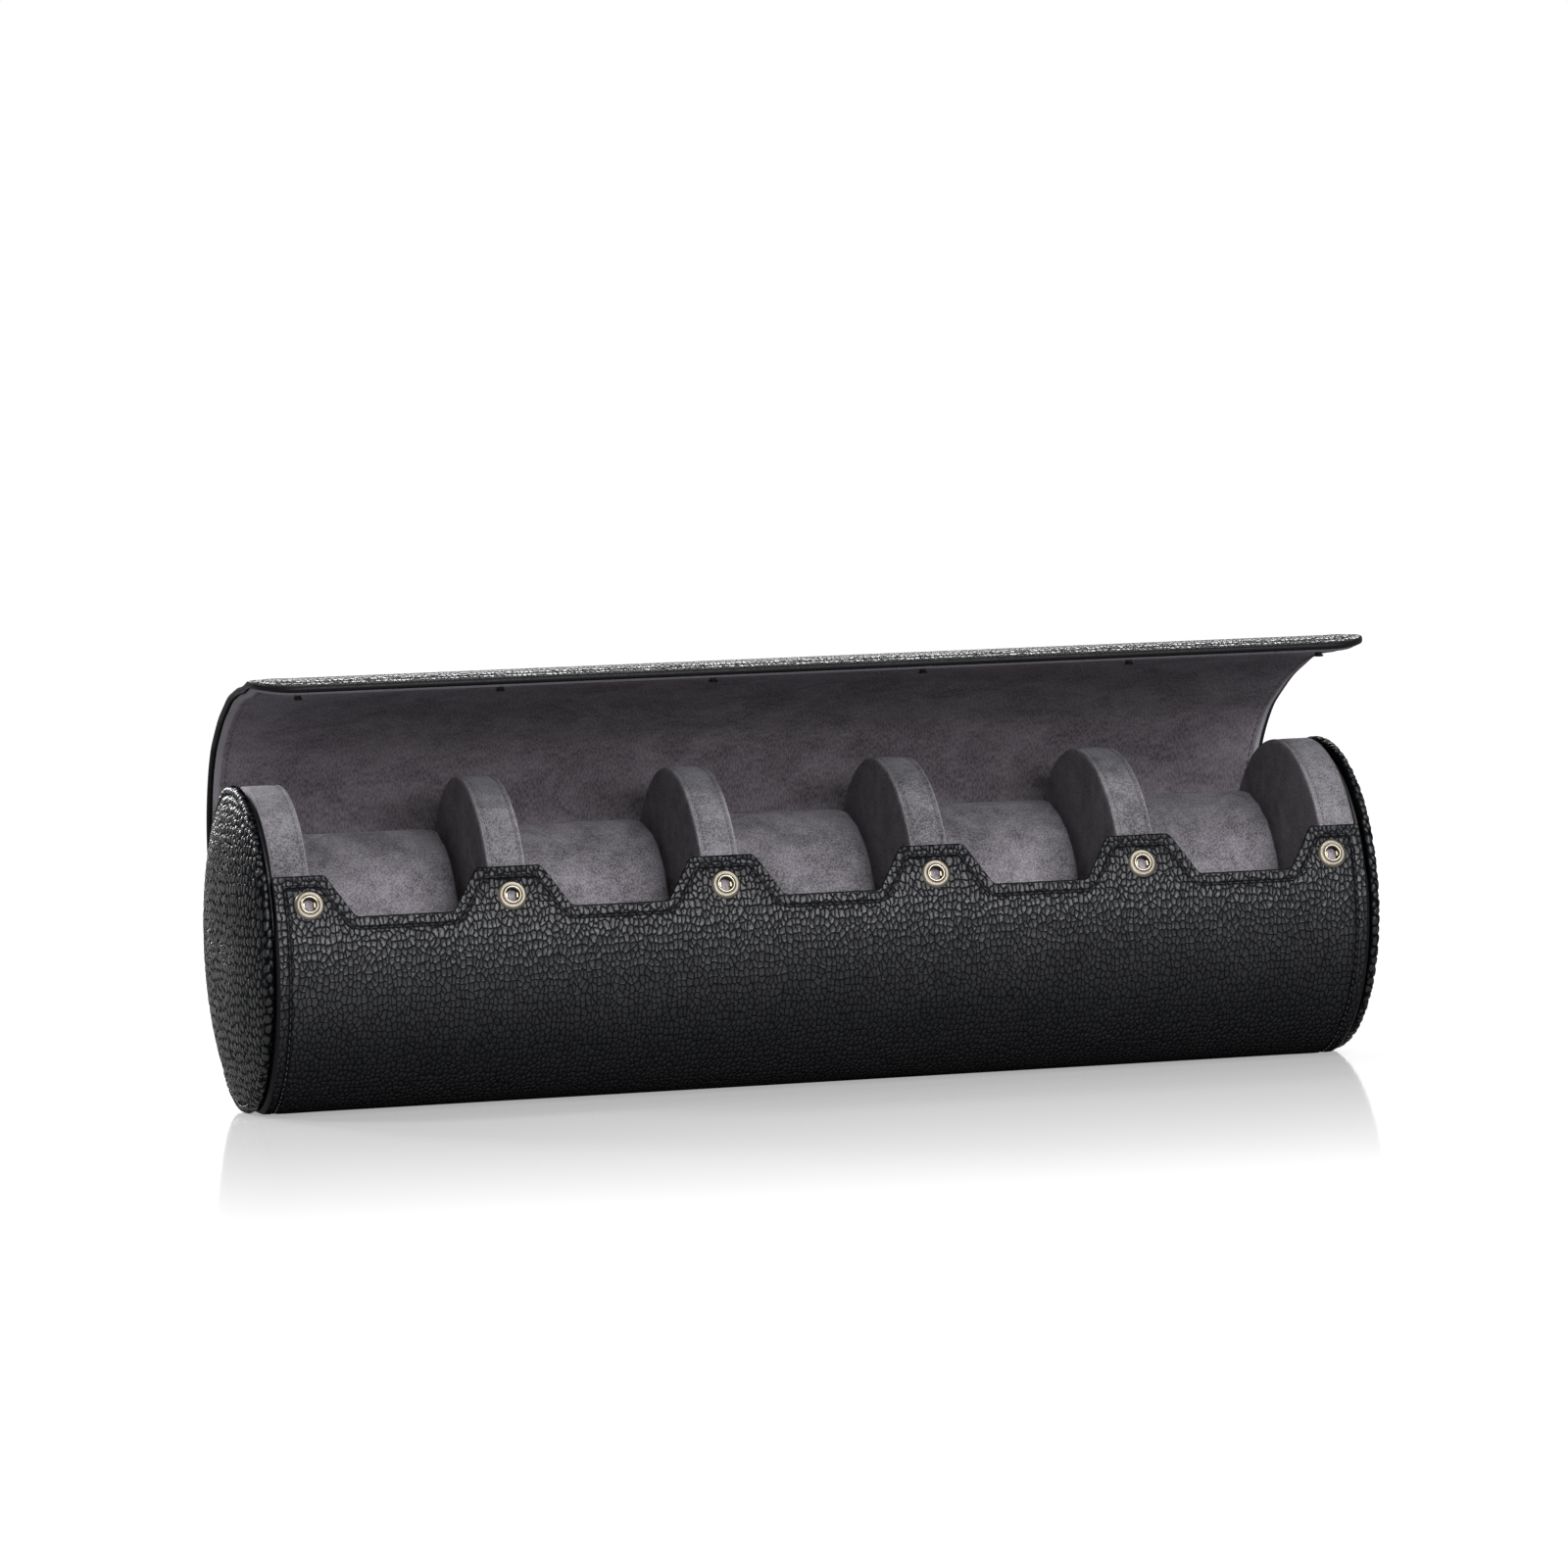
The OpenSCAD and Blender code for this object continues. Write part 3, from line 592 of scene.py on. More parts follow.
def suede(name, dark, light, sheen, nap=(1.0, 0.7, 1.0), edge_highlight=None):
    """Microfibre suede: cut pile about 0.3 mm long that mottles where it was stroked.

    The pile gives a soft sheen at the edges, short streaks along the nap and a grainy surface.
    Along a turned-in cut edge a paler colour, given as the last argument, is painted as a painted highlight.
    """
    material, tree, shader = new_material(name)
    place = add(tree, "ShaderNodeAttribute", (), "Vector", attribute_name="cut")
    # Stroked areas about 20 mm across, patches of about 5 mm, and tufts of about 0.5 mm, which are
    # drawn coarser than the pile so that they show
    stroked = add(tree, "ShaderNodeTexNoise", {"Vector": place, "Scale": 0.05, "Detail": 4.0,
                                               "Roughness": 0.6, "Distortion": 0.8})
    patch = add(tree, "ShaderNodeTexNoise", {"Vector": place, "Scale": 0.22, "Detail": 3.0})
    along = add(tree, "ShaderNodeMapping", {"Vector": place, "Scale": nap})
    tuft = add(tree, "ShaderNodeTexNoise", {"Vector": along, "Scale": 1.8, "Detail": 3.0, "Roughness": 0.7})
    share = weighted_sum(tree, (
        (add(tree, "ShaderNodeMapRange", (stroked, 0.34, 0.66), **SMOOTHLY), 0.34),
        (add(tree, "ShaderNodeMapRange", (patch, 0.36, 0.64), **SMOOTHLY), 0.16),
        (add(tree, "ShaderNodeMapRange", (tuft, 0.44, 0.56), **SMOOTHLY), 0.5)))
    pile = add(tree, "ShaderNodeMix", {0: share, 6: linear(dark), 7: linear(light)}, **COLOURS)
    # Painted highlight: a paler colour along the turned edge, by the distance to it
    if edge_highlight:
        edge = add(tree, "ShaderNodeAttribute", (), "Fac", attribute_name="edge")
        inside = add(tree, "ShaderNodeMapRange", (edge, 1.1, 2.2), **SMOOTHLY)
        pile = add(tree, "ShaderNodeMix", {0: inside, 6: linear(edge_highlight), 7: pile}, **COLOURS)
    set_inputs(shader, {
        "IOR": 1.45,
        "Specular IOR Level": 0.05,
        "Roughness": 0.95,
        "Sheen Weight": sheen,
        "Sheen Roughness": 0.4,
        "Sheen Tint": linear("#c3c5cb"),
        "Base Color": pile,
        "Normal": add(tree, "ShaderNodeBump", {"Height": tuft, "Distance": 0.5 * MM, "Strength": 1.0}),
    })
    return material


def plated(name, colour, roughness, spread):
    """Electroplated metal, polished in a drum, with faint smudges that change its gloss."""
    material, tree, shader = new_material(name)
    place = add(tree, "ShaderNodeTexCoord", (), "Object")
    # Smudges about 2.4 mm across
    smudge = add(tree, "ShaderNodeTexNoise", {"Vector": place, "Scale": 420.0, "Detail": 3.0})
    set_inputs(shader, {
        "Metallic": 1.0,
        "Base Color": linear(colour),
        "Roughness": add(tree, "ShaderNodeMapRange", (smudge, 0.3, 0.7, roughness, roughness + spread),
                         **SMOOTHLY),
        "Normal": add(tree, "ShaderNodeBump", {"Height": smudge, "Distance": 0.02 * MM}),
    })
    return material


def ringed_nickel(name, bright, dull):
    """Nickel plate, lighter in colour on its raised rings and darker grey in the recess between them and in
    the hole.
    """
    material, tree, shader = new_material(name)
    ring_lightness = add(tree, "ShaderNodeAttribute", (), "Fac", attribute_name="ring_lightness")
    set_inputs(shader, {
        "Metallic": 1.0,
        "Base Color": add(tree, "ShaderNodeMix", {0: ring_lightness, 6: linear(dull), 7: linear(bright)}, **COLOURS),
        "Roughness": add(tree, "ShaderNodeMapRange", (ring_lightness, 0.0, 1.0, 0.42, 0.16), **SMOOTHLY),
    })
    return material


def sewing_thread(name, colour):
    """Twisted polyester thread; the twist is about 0.5 mm long, and its grooves are darker in the colour as
    painted shade.
    """
    material, tree, shader = new_material(name)
    place = add(tree, "ShaderNodeTexCoord", (), "Object")
    twist = add(tree, "ShaderNodeTexNoise", {"Vector": place, "Scale": 1900.0, "Detail": 1.0})
    share = add(tree, "ShaderNodeMapRange", (twist, 0.35, 0.65), **SMOOTHLY)
    base = linear(colour)
    # Painted shade: the grooves of the twist are darker
    between = [c * 0.45 for c in base[:3]] + [1]
    set_inputs(shader, {
        "IOR": 1.5,
        "Specular IOR Level": 0.35,
        "Roughness": 0.55,
        "Sheen Weight": 0.2,
        "Base Color": add(tree, "ShaderNodeMix", {0: share, 6: between, 7: base}, **COLOURS),
    })
    return material


def smooth_leather(name, colour):
    """Thin skived leather rolled over a cord: fine pores and a soft gloss."""
    material, tree, shader = new_material(name)
    place = add(tree, "ShaderNodeTexCoord", (), "Object")
    # Pores about 1.1 mm apart
    pores = add(tree, "ShaderNodeTexNoise", {"Vector": place, "Scale": 900.0, "Detail": 3.0})
    set_inputs(shader, {
        "IOR": 1.5,
        "Specular IOR Level": 0.35,
        "Base Color": linear(colour),
        "Roughness": add(tree, "ShaderNodeMapRange", (pores, 0.3, 0.7, 0.38, 0.55), **SMOOTHLY),
        "Normal": add(tree, "ShaderNodeBump", {"Height": pores, "Distance": 0.08 * MM}),
    })
    return material


# The valley colours are painted shade in the pebbles' creases
SHELL_LEATHER = pebbled_leather("pebbled_shell_leather", "#16171b", "#0c0d10", cell=1.6, tall=1.6,
                                depth=0.26, roughness=0.36, level=0.6, waxed=5.0)
LID_LEATHER = pebbled_leather("pebbled_lid_leather", "#17181c", "#0b0c0e", cell=1.6, tall=1.6,
                              depth=0.34, roughness=0.32, level=0.75, waxed=1.2)
# The caps' leather is written darker than the shell's, as painted shade, though it is the same cowhide; its
# valley colour is painted shade in the creases
CAP_LEATHER_PAINTED_SHADE = moulded_leather("pebbled_cap_leather_painted_shade", "#0d0e12", "#040507", 0.2, 0.3, 1.5)
EDGE_PAINT = painted_edge("black_edge_paint", "#0b0b0d")
# The lining's suede is written lighter than the cushions', as painted light for the shade under the lid and
# in the shell, and its last colour is a painted highlight along the turned edge
LINING_SUEDE_PAINTED_LIGHT = suede("lining_suede_painted_light", "#696269", "#aba4ac", 0.12, (1.0, 0.3, 1.0), "#b9b5bb")
BAND_SUEDE = suede("divider_band_suede", "#3f3d41", "#8b898e", 0.3)
# The faces' suede is written lighter than the bands', as painted light for the shade in the bays
FACE_SUEDE_PAINTED_LIGHT = suede("divider_face_suede_painted_light", "#6d696e", "#a29ea3", 0.1)
CUSHION_SUEDE = suede("cushion_suede", "#4b484d", "#97939a", 0.2)
NICKEL = ringed_nickel("polished_nickel", "#7d776c", "#34312c")
SPRING_BRASS = plated("drawn_spring_wire", "#8f8468", 0.25, 0.15)
STUD_METAL = plated("blackened_stud", "#1d1c1b", 0.3, 0.15)
RIVET_STEEL = plated("plated_steel", "#a9a59c", 0.3, 0.2)
BLACK_THREAD = sewing_thread("black_thread", "#1a1a1d")
GREY_THREAD = sewing_thread("grey_thread", "#4f4b51")
PIPING_LEATHER = smooth_leather("piping_leather", "#08080a")


# ---------------------------------------------------------------- shell
def rounded_corner(before, corner, after, radius, steps):
    """Points of an arc that rounds a corner of a path of (x, z) points."""
    u = (before - corner) / np.linalg.norm(before - corner)
    v = (after - corner) / np.linalg.norm(after - corner)
    half = math.acos(float(u @ v)) / 2
    centre = corner + (u + v) / np.linalg.norm(u + v) * radius / math.sin(half)
    start = corner + u * radius / math.tan(half) - centre
    end = corner + v * radius / math.tan(half) - centre
    points = []
    for k in range(steps + 1):
        t = k / steps
        p = start * (1 - t) + end * t
        points.append(centre + p / np.linalg.norm(p) * radius)
    return points


def scalloped_edge(spacing):
    """The shell's front edge from left to right as (x, height above the axis), in short steps."""
    bottom = TAB_TOP - NOTCH_DEPTH
    corners = [np.array([-SHELL_HALF, TAB_TOP])]
    for bay in range(BAYS):
        x = (bay - (BAYS - 1) / 2) * BAY_PITCH
        half = NOTCH_W / 2
        corners += [np.array(p) for p in (
            (x - half - NOTCH_SLOPE, TAB_TOP), (x - half, bottom),
            (x + half, bottom), (x + half + NOTCH_SLOPE, TAB_TOP))]
    corners.append(np.array([SHELL_HALF, TAB_TOP]))
    path = [corners[0]]
    for before, corner, after in zip(corners, corners[1:], corners[2:]):
        path += rounded_corner(before, corner, after, NOTCH_CORNER_R, 6)
    path.append(corners[-1])
    path = np.array(path)
    dense = [path[0]]
    for a, b in zip(path, path[1:]):
        steps = max(1, int(math.ceil(np.linalg.norm(b - a) / spacing)))
        dense += [a + (b - a) * (k + 1) / steps for k in range(steps)]
    return np.array(dense)


def shell_profile(s, depth):
    """A point of the shell's section.

    s is the length along its outside, 0 at the axis height in front and growing upwards;
    depth is how far below the outer face the point lies.
    """
    s = np.asarray(s, float)
    arc = SHELL_R * (math.pi / 2 - FOOT_A)
    front = np.maximum(s, -arc) / SHELL_R
    behind = np.minimum(s + arc + FOOT_W, 0) / SHELL_R
    angle = front + behind - np.where(s < -arc - FOOT_W, 2 * FOOT_A, 0)
    flat = np.clip((-arc - s) / FOOT_W, 0, 1)
    on_flat = (s < -arc) & (s > -arc - FOOT_W)
    y = np.where(on_flat, -FOOT_W / 2 + FOOT_W * flat, -SHELL_R * np.cos(angle))
    z = np.where(on_flat, -AXIS_H, SHELL_R * np.sin(angle))
    ease = 5.0
    to_flat = smooth(np.minimum(-arc + ease - s, s + arc + FOOT_W + ease) / (2 * ease))
    ny = y / SHELL_R * (1 - to_flat)
    nz = z / SHELL_R * (1 - to_flat) - to_flat
    size = np.hypot(ny, nz)
    return np.stack([y - depth * ny / size, z - depth * nz / size], axis=-1)


SHELL_BACK_S = -(SHELL_R * (math.pi / 2 - FOOT_A) + FOOT_W
                 + SHELL_R * (math.radians(270 - BACK_EDGE_A) - FOOT_A))


def shell_columns(spacing, end_steps):
    """Places along the shell where its mesh has columns, closer at the ends and on the notches."""
    closest = 0.12
    path = scalloped_edge(spacing)
    near = SHELL_HALF - np.array([*end_steps, 0])
    x = np.unique(np.round(np.concatenate([path[:, 0], near, -near]), 3))
    keep = [x[0]]
    for v in x[1:]:
        if v - keep[-1] > closest:
            keep.append(v)
    keep[-1] = x[-1]
    x = np.array(keep)
    return x, np.interp(x, path[:, 0], path[:, 1])


def distance_to(points, path):
    """Distance of each flat point to the nearest point of a dense path."""
    flat = points.reshape(-1, 2)
    batch = 4000
    nearest = [((flat[k:k + batch, None] - path) ** 2).sum(-1).min(1) for k in range(0, len(flat), batch)]
    return np.sqrt(np.concatenate(nearest)).reshape(points.shape[:-1])


def scallop_on_pattern(spacing):
    """The scalloped edge on the flat pattern, as (x, length along the section)."""
    path = scalloped_edge(spacing)
    return np.stack([path[:, 0], SHELL_R * np.arcsin(path[:, 1] / SHELL_R)], axis=-1)


def sewn_relief(distance):
    """Height of leather near a sewn edge: the seam pulls a groove and the leather swells beyond it."""
    groove_deep, groove_wide, strip_low, swell_high = 0.38, 0.62, 0.12, 0.14
    groove = groove_deep * np.exp(-(((distance - STITCH_INSET) / groove_wide) ** 2))
    strip = strip_low * smooth((STITCH_INSET - distance) / STITCH_INSET)
    rise = smooth((distance - STITCH_INSET - 0.6) / 3)
    fall = smooth((distance - 9) / 10)
    return swell_high * rise * (1 - fall) - groove - strip


SHELL_NEAR_ROWS = np.array([0, .25, .6, 1.0, 1.5, 2.0, 2.4, 2.8, 3.1, 3.4, 3.7, 4.0, 4.4, 5.0, 5.8, 7.0,
                            8.5, 10.5])
SHELL_MIDDLE_ROWS = 8
SHELL_LOW_ROWS = 46


def shell_rows(top):
    """Places down the section for each column: close under the edge, then evenly round to the back."""
    level = -12.0
    rows = [top - w for w in SHELL_NEAR_ROWS]
    last = rows[-1]
    for k in range(1, SHELL_MIDDLE_ROWS + 1):
        rows.append(last + (level - last) * k / SHELL_MIDDLE_ROWS)
    for k in range(1, SHELL_LOW_ROWS + 1):
        rows.append(np.full_like(top, level + (SHELL_BACK_S - level) * k / SHELL_LOW_ROWS))
    return np.array(rows)


def board_share(s):
    """1 where the wall has its whole board, falling to 0 below the scallops."""
    height = shell_profile(s, 0)[..., 1]
    share = smooth((BOARD_TOP + BOARD_FADE - height) / BOARD_FADE)
    return np.where(s < SHELL_BACK_S / 2, 1.0, share)


def make_shell():
    """Outer leather with its board, and the suede lining behind it."""
    x, top_z = shell_columns(1.3, (0.3, 0.8, 1.4, 2.0, 2.5, 2.9, 3.3, 3.7, 4.1, 4.7, 5.6, 7.0))
    s = shell_rows(SHELL_R * np.arcsin(top_z / SHELL_R))
    xx = np.broadcast_to(x, s.shape)
    to_scallop = np.full(s.shape, 50.0)
    near = s > -2
    to_scallop[near] = distance_to(np.stack([xx[near], s[near]], axis=-1), scallop_on_pattern(0.6))
    edge = np.minimum(to_scallop, SHELL_HALF - np.abs(xx))
    outer = in_space(xx, shell_profile(s, -sewn_relief(edge)))
    inner = in_space(xx, shell_profile(s, WALL_LEATHER + board_share(s) * WALL_BOARD))
    cut = np.stack([xx, s, np.zeros_like(s)], axis=-1)
    shell = thick_sheet("shell_leather", outer, inner, cut, edge, [SHELL_LEATHER, EDGE_PAINT, LINING_SUEDE_PAINTED_LIGHT])
    punch_holes(shell, PUNCH_R)
    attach(shell, "case")
    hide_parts("case_leather", "case_board")

    # The lining needs fewer rows, stops a little short of the leather and lies just behind it
    short, behind = 0.3, 0.02
    x, top_z = shell_columns(3.0, (0.5, 2))
    top = SHELL_R * np.arcsin(np.clip((top_z - 0.5) / SHELL_R, -1, 1))
    near_rows = len(SHELL_NEAR_ROWS)
    every = range(near_rows, near_rows + SHELL_MIDDLE_ROWS + SHELL_LOW_ROWS)
    s = shell_rows(top)[[0, 2, 4, 6, 9, 13, 16, *every]]
    xx = np.broadcast_to(x * (SHELL_HALF - short) / SHELL_HALF, s.shape)
    depth = WALL_LEATHER + board_share(s) * WALL_BOARD
    outer = in_space(xx, shell_profile(s, depth + behind))
    inner = in_space(xx, shell_profile(s, depth + WALL_LINING))
    cut = np.stack([xx, s, np.zeros_like(s)], axis=-1)
    lining = thick_sheet("shell_lining", outer, inner, cut, np.full(s.shape, NO_EDGE), [LINING_SUEDE_PAINTED_LIGHT] * 3)
    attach(lining, "case")
    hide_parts("case_lining")


# ---------------------------------------------------------------- end caps
def pebbles(flat, width, tall, seed):
    """Height (0 to 1) of a pressed pebble pattern at flat places in millimetres."""
    repeat = 64
    rng = np.random.default_rng(seed)
    table = 0.5 + 0.38 * (rng.random((repeat, repeat, 2)) * 2 - 1)
    lift = rng.random((repeat, repeat))
    sway = np.stack([np.sin(flat[..., 1] / 3.7) + np.sin(flat[..., 0] / 5.3),
                     np.sin(flat[..., 0] / 4.1) + np.sin(flat[..., 1] / 6.1)], axis=-1)
    at = (flat + 0.35 * sway) / (width, tall)
    cell = np.floor(at).astype(int)
    nearest = np.full(at.shape[:-1], 9.0)
    second = nearest.copy()
    own = np.zeros(at.shape[:-1])
    for i in (-2, -1, 0, 1, 2):
        for j in (-2, -1, 0, 1, 2):
            ci, cj = cell[..., 0] + i, cell[..., 1] + j
            seat = table[ci % repeat, cj % repeat] + np.stack([ci + 0.5 * (cj % 2), cj], axis=-1)
            gap = np.hypot(*np.moveaxis(seat - at, -1, 0))
            closer = gap < nearest
            second = np.where(closer, nearest, np.minimum(second, gap))
            own = np.where(closer, lift[ci % repeat, cj % repeat], own)
            nearest = np.where(closer, gap, nearest)
    to_crease = smooth((second - nearest) / 0.42)
    crown = 1 - np.clip(nearest / 0.75, 0, 1) ** 2
    return to_crease * (0.45 + 0.4 * crown + 0.15 * own)


def cap_profile():
    """The cap's section as (radius, distance out): sleeve, rim, rolled bead, crease and pillow.

    Also gives the number of the bead's first point and the radius of the pillow's edge.
    """
    bead = []
    steps, start, sweep, half_width = 10, -85, 205, 1.75
    for k in range(steps + 1):
        a = math.radians(start + sweep * k / steps)
        bead.append((CAP_R - CAP_BEAD_R * (1 - math.cos(a)), CAP_BEAD_X + half_width * math.sin(a)))
    pillow_r = CAP_R - CAP_BEAD_R - 0.9
    pillow = []
    steps = 96
    for k in range(1, steps + 1):
        share = (steps - k) / steps
        rise = CAP_PILLOW_H * (1 - share ** CAP_PILLOW_FULLNESS)
        pillow.append((max(pillow_r * share, CAP_POLE_R), CAP_CREASE_X + rise))
    rim = [(20, 0), (CAP_SLEEVE_R - 0.6, 0), (CAP_SLEEVE_R, 0.2), (CAP_SLEEVE_R, 1.4),
           (CAP_SLEEVE_R + 0.6, CAP_RIM_X), (CAP_R - 2.0, CAP_RIM_X)]
    crease = [(pillow_r + 0.25, CAP_CREASE_X - 0.05), (pillow_r, CAP_CREASE_X)]
    return np.array(rim + bead + crease + pillow), len(rim), pillow_r


def make_cap(side, word):
    """Pillow of leather inside a rolled rim, and the piping in the groove behind it."""
    profile, bead_at, pillow_r = cap_profile()
    centre = (side * SHELL_HALF, 0, AXIS_H + CAP_LIFT)
    rings, angles = revolved(profile, 560, centre, side)
    reach = np.concatenate([[0], np.cumsum(np.hypot(*np.diff(profile, axis=0).T))])
    from_pole = (reach[-1] - reach + CAP_POLE_R)[:, None]
    cut = np.stack([from_pole * np.cos(angles), from_pole * np.sin(angles),
                    np.zeros((len(profile), len(angles)))], axis=-1)
    # Pebbles stand up along the section's normal, from the bead on, and are pressed flat in the crease
    width, tall, high = CAP_PEBBLE
    shown = smooth((np.arange(len(profile)) - bead_at - 1) / 3)
    shown *= 1 - 0.75 * np.exp(-((profile[:, 0] - pillow_r) / 0.7) ** 2)
    up = pebbles(cut[..., :2], width, tall, 5 + side) * shown[:, None]
    slope = unit(np.gradient(profile, axis=0)) * high
    rings[..., 0] -= side * slope[:, :1] * up
    radial = slope[:, 1:] * up
    rings[..., 1] += radial * np.cos(angles)
    rings[..., 2] += radial * np.sin(angles)
    points, faces = closed_rings(rings)
    cut = np.concatenate([cut.reshape(-1, 3), [[reach[-1], 0, 0], [0, 0, 0]]])
    cap = outwards(mesh_piece(f"{word}_cap_cover", points, faces, [CAP_LEATHER_PAINTED_SHADE], None, cut,
                              np.full(len(points), NO_EDGE)))
    # The pebbles' height also sets the painted shade in their creases
    set_attribute(cap.data, "raised", "FLOAT", np.concatenate([up.ravel(), [0, 1]]))
    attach(cap, "case")
    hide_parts(f"{word}_cap_leather", f"{word}_cap_padding", f"{word}_cap_board")

    tube_r, ring_r = 1.05, CAP_SLEEVE_R + 1
    size = (12, 256)
    turns, angles = round_turn(size[0])[:, None], round_turn(size[1])
    around = ring_r + tube_r * np.cos(turns)
    out = np.broadcast_to(centre[0] + side * (1 + tube_r * np.sin(turns) * 0.95), size)
    points = np.stack([out, around * np.cos(angles), centre[2] + around * np.sin(angles)], axis=-1)
    piping = outwards(mesh_piece(f"{word}_piping", points.reshape(-1, 3), ring_faces(*size),
                                 [PIPING_LEATHER]))
    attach(piping, "case")
    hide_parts(f"{word}_cap_piping")


# ---------------------------------------------------------------- dividers
def divider_radius(angles):
    """Radius of a divider's outline about the case's axis; angles in radians, 0 at the front."""
    height = np.sin(angles)
    centre = (DIVIDER_TOP**2 - DIVIDER_TAB_R**2) / (2 * (DIVIDER_TOP - TAB_TOP))
    upper = DIVIDER_TOP - centre
    up = centre * height + np.sqrt(upper**2 - (centre * np.cos(angles)) ** 2)
    radius = np.where(height > 0, np.maximum(up, DIVIDER_LOW_R), DIVIDER_LOW_R)
    foot = np.where(height < -0.5, DIVIDER_FLAT / np.maximum(-height, 0.5), np.inf)
    return np.minimum(radius, foot)


# A divider's rounded side as (distance in from its face, distance below its outline): the round face,
# the turned edge with its raised seam, and the start of the band. The first 11 points lie on the face.
DIVIDER_SIDE = ((0.0, 48), (0.0, 40), (0.0, 30), (0.0, 20), (0.0, 12), (0.0, 7), (0.0, 4), (0.02, 2.4),
                (0.06, 1.5), (0.2, 0.8), (0.45, 0.32), (0.8, 0.08), (1.15, 0.02), (1.45, 0.14),
                (1.75, 0.42), (2.0, 0.52), (2.25, 0.42), (2.6, 0.2), (3.2, 0.1), (4.2, 0.03))
DIVIDER_FACE_POINTS = 11


def make_divider(number):
    """Foam disc in a suede cover: two round faces and a band between them, joined by raised seams."""
    low, high = node_box(f"divider_{number}_band")
    # The outermost dividers are pressed against the end caps, which flattens that side
    snug = [(-0.9 + dx * 0.3, inset if inset > 1 else inset * 0.5) for dx, inset in DIVIDER_SIDE]
    left = snug if number == 1 else DIVIDER_SIDE
    right = snug if number == BAYS + 1 else DIVIDER_SIDE
    profile = [(low[0] + dx, inset) for dx, inset in left]
    profile += [((low[0] + high[0]) / 2, 0.0)]
    profile += [(high[0] - dx, inset) for dx, inset in reversed(right)]
    steps = 256
    angles = round_turn(steps)
    radius = divider_radius(angles)
    rings = []
    for x, inset in profile:
        r = np.maximum(radius - inset, 0.4)
        rings.append(in_space(x, np.stack([-r * np.cos(angles), r * np.sin(angles)], axis=-1)))
    points, faces = closed_rings(np.array(rings))
    rows = len(profile)
    # The faces get the suede written lighter, as painted light for their shade in the bays
    kinds = []
    for f in faces:
        row = min(min(f) // steps, rows - 1)
        at_end = row < DIVIDER_FACE_POINTS or row > rows - 2 - DIVIDER_FACE_POINTS
        kinds.append(1 if at_end or max(f) >= rows * steps else 0)
    cut = points[:, [1, 2, 0]]
    piece = outwards(mesh_piece(f"divider_{number}", points, faces, [BAND_SUEDE, FACE_SUEDE_PAINTED_LIGHT], kinds, cut))
    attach(piece, "case")
    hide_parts(*[f"divider_{number}_{part}" for part in ("core", "faces", "band")])


# ---------------------------------------------------------------- cushions
def cushion_shape(number):
    """A slightly small roll with an oval section and soft ends, before it is filled."""
    low, high = node_box(f"cushion_{number}_cover")
    centre = (low + high) / 2
    half = (high[0] - low[0]) / 2
    shrink = 0.8
    ends = [(0, 12), (0.1, 6), (0.6, 2.4), (1.6, 0.7), (3.2, 0.1)]
    along = [(-half + shrink + dx, inset) for dx, inset in ends]
    along += [(x, 0) for x in np.linspace(-half + 8, half - 8, 9)]
    along += [(half - shrink - dx, inset) for dx, inset in reversed(ends)]
    steps = 64
    a = round_turn(steps)
    tilt = math.radians(CUSHION_TILT)
    rings = []
    for x, inset in along:
        u = (CUSHION_LONG / 2 - shrink - inset) * np.cos(a)
        v = (CUSHION_SHORT / 2 - shrink - inset) * np.sin(a)
        y = u * math.cos(tilt) - v * math.sin(tilt)
        z = u * math.sin(tilt) + v * math.cos(tilt)
        rings.append(np.stack([np.full(steps, centre[0] + x), centre[1] + y, centre[2] + z], axis=-1))
    return centre[0], half, closed_rings(np.array(rings))


def filled(piece):
    """Blows a closed piece up as cloth round its filling."""
    voxel, stiffness, most = 4.0, 30, 1.6
    frames = 20
    scene = bpy.context.scene
    bpy.context.view_layer.objects.active = piece
    remesh = piece.modifiers.new("even_mesh", "REMESH")
    remesh.mode = "VOXEL"
    remesh.voxel_size = voxel * MM
    mesh = bake(piece)
    start = np.array([v.co for v in mesh.vertices], float)
    cloth = piece.modifiers.new("filling", "CLOTH")
    cloth.settings.use_pressure = True
    cloth.settings.uniform_pressure_force = 4.0
    cloth.settings.effector_weights.gravity = 0
    cloth.settings.tension_stiffness = stiffness
    cloth.settings.compression_stiffness = stiffness
    cloth.settings.bending_stiffness = 2
    cloth.point_cache.frame_start = 1
    cloth.point_cache.frame_end = frames
    for step in range(1, frames + 1):
        scene.frame_set(step)
    graph = bpy.context.evaluated_depsgraph_get()
    shift = np.array([v.co for v in piece.evaluated_get(graph).data.vertices], float) - start
    # No point moves further than most
    length = np.linalg.norm(shift, axis=1, keepdims=True)
    shift *= np.minimum(1, most * MM / np.maximum(length, 1e-9))
    piece.modifiers.clear()
    scene.frame_set(1)
    mesh.vertices.foreach_set("co", (start + shift).ravel())
    mesh.update()


